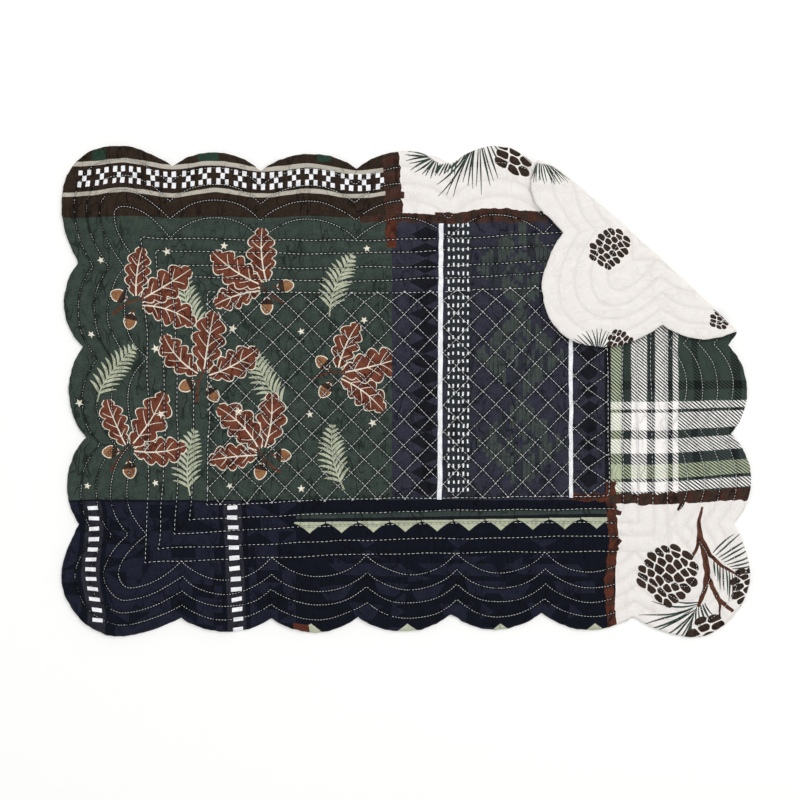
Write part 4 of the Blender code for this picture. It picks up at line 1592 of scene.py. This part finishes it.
def makeStitches(name, kind, heightsOf, lift):
    vertices, edges = [], []
    for lineKind, points, closed in stitched:
        if lineKind != kind:
            continue
        fine = evenly(points, meshing["threadLine"], closed)
        start = len(vertices)
        sunk = stitching["sunkAtLeft"] * eased(-fine[:, 0], *stitching["sunkGrows"]) * np.sign(lift)
        vertices += folded(fine, heightsOf(fine) + lift - sunk).tolist()
        edges += [(number, number + 1) for number in range(start, len(vertices) - 1)]
        if closed:
            edges.append((len(vertices) - 1, start))
    path = bpy.data.meshes.new(name)
    path.from_pydata(vertices, edges, [])
    piece = addObject(name, path)
    modifier = piece.modifiers.new("stitches", "NODES")
    modifier.node_group = rowOfStitches
    sockets = rowOfStitches.interface.items_tree
    inputs = {item.name: item.identifier for item in sockets if item.in_out == "INPUT"}
    for socket in ("Pitch", "Length", "Thickness"):
        modifier[inputs[socket]] = stitching[kind][socket] * mm
    modifier[inputs["Shortest"]] = 1 - stitching["unevenness"]
    modifier[inputs["Seed"]] = len(vertices)
    modifier[inputs["Thread"]] = thread
    bpy.context.view_layer.update()
    evaluated = piece.evaluated_get(bpy.context.evaluated_depsgraph_get())
    done = bpy.data.meshes.new_from_object(evaluated)
    piece.modifiers.clear()
    piece.data = done
    print(name, len(done.polygons), "faces")
    return piece


materials = {name: printedCotton(name + "Print", *pair) for name, pair in inks.items()}
materials["plaid"] = plaidCotton()
thread = spunThread()
rowOfStitches = stitchTree()
stitched = stitchLines()
fineLines = [(evenly(points, meshing["threadLine"], closed), closed) for _, points, closed in stitched]
seams = lineFinder(fineLines)
kinds = np.array([kind for kind, _, _ in stitched])[seams["owner"]]
heading = seams["after"] - seams["before"]
level = np.abs(heading[:, 0]) > np.abs(heading[:, 1])
rising = heading[:, 0] * heading[:, 1] > 0
seamFamilies = (
    (partOf(seams, kinds == "echo"), quilting["channelHalf"]),
    (partOf(seams, (kinds == "rectangle") & level), quilting["channelHalf"]),
    (partOf(seams, (kinds == "rectangle") & ~level), quilting["channelHalf"]),
    (partOf(seams, (kinds == "lattice") & rising), quilting["diamondHalf"]),
    (partOf(seams, (kinds == "lattice") & ~rising), quilting["diamondHalf"]),
)
outline = evenly(scallopedLine(0.0, 40), meshing["outline"], True)
for edgeWave in matPlan["edgeWaves"]:
    outline = wobbled(outline, *edgeWave)
rim = lineFinder([(outline, True)])
print("plan: stitch lines", len(stitched), "edge points", len(outline))


def makeCloth(name, shapes, spacing, heightsOf, facesDown, onlyBeyond=None):
    points = clothPoints(outline, stitched, rim, spacing, onlyBeyond)
    flat, triangles, owners = cutCloth(outline, points, shapes)
    heights = rimmed(flat, heightsOf(flat), rim, facesDown)
    places = folded(flat, heights)
    if facesDown:
        triangles = triangles[:, ::-1]
    distance, side, reach, owner = nearestLine(seams, flat)
    seam = np.column_stack((reach + owner * 37.3, distance))
    names = ["creamGround"] + [ink for ink, _ in shapes]
    used = sorted(set(names))
    slots = np.array([used.index(names[number]) for number in owners])
    plan = flat if facesDown else 2 * flat - pulled(flat)
    cloth = clothObject(name, places, triangles, plan, seam, slots)
    for ink in used:
        cloth.data.materials.append(materials[ink])
    print(name, len(triangles), "triangles")
    return cloth


def frontHeights(points):
    return puffed(points, quilting["stitchTop"], quilting["crestTop"])


def backHeights(points):
    onFlap = eased(pastFold(points)[0] - foldEnd(), *quilting["backGrows"])
    loose = puffed(points, quilting["backStitch"], quilting["backCrest"])
    distance = nearestLine(seams, points)[0]
    dimple = quilting["backStitch"] * np.exp(-((distance / quilting["dimpleReach"]) ** 2))
    return loose * onFlap + (quilting["backFlat"] + dimple) * (1 - onFlap)


front = makeCloth("frontCloth", frontPrint(), meshing["cloth"], frontHeights, False)
back = makeCloth("backCloth", backPrint(), meshing["underside"], backHeights, True, foldEnd() - 3)
kindNames = {"echo": "EchoStitches", "rectangle": "FrameStitches", "lattice": "LatticeStitches"}
frontThreads, backThreads = [], []
for kind, ending in kindNames.items():
    frontThreads.append(makeStitches("front" + ending, kind, frontHeights, stitching["lift"]))
    backThreads.append(makeStitches("back" + ending, kind, backHeights, -stitching["lift"]))
for cloth, threads, node, slot in (
    (front, frontThreads, "quilted_front", "front_cotton"),
    (back, backThreads, "printed_back", "back_cotton"),
):
    for piece in [cloth] + threads:
        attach(piece, "root")
    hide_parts(node)


sweep = {"reach": 3, "colour": "#f7f7f6", "roughness": 0.95, "specular": 0.1}


def makeFloor():
    mesh = bpy.data.meshes.new("floor")
    reach = sweep["reach"]
    mesh.from_pydata([(x, y, 0) for x, y in box(-reach, -reach, reach, reach)], [], [(0, 1, 2, 3)])
    floor = addObject("floor", mesh)
    material = newMaterial("paleSweep")  # matt paper sweep, which goes white under the lights
    tree = material.node_tree
    look = {"Base Color": colour(sweep["colour"]), "Roughness": sweep["roughness"]}
    look["Specular IOR Level"] = sweep["specular"]
    shader = addNode(tree, "ShaderNodeBsdfPrincipled", {}, look)
    addNode(tree, "ShaderNodeOutputMaterial", {}, {}, {"Surface": shader.outputs[0]})
    mesh.materials.append(material)


lights = {
    "world": 0.7,
    "key": 17.0,
    "keyAt": (0.7, 0.8, 1.75),
    "keySize": 0.9,
    "fill": 6.0,
    "fillAt": (-1.2, -0.6, 1.6),
    "fillSize": 1.6,
}


def makeLights():
    world = bpy.data.worlds.new("softRoom")
    world.use_nodes = True
    background = world.node_tree.nodes["Background"].inputs
    background["Color"].default_value = (1, 1, 1, 1)
    background["Strength"].default_value = lights["world"]
    bpy.context.scene.world = world
    for name in ("key", "fill"):
        light = bpy.data.lights.new(name, "AREA")
        light.energy = lights[name]
        light.size = lights[name + "Size"]
        lamp = addObject(name, light)
        lamp.location = lights[name + "At"]
        lamp.rotation_euler = (-Vector(lamp.location)).to_track_quat("-Z", "Y").to_euler()


makeFloor()
makeLights()
bpy.context.scene.view_settings.view_transform = "Standard"
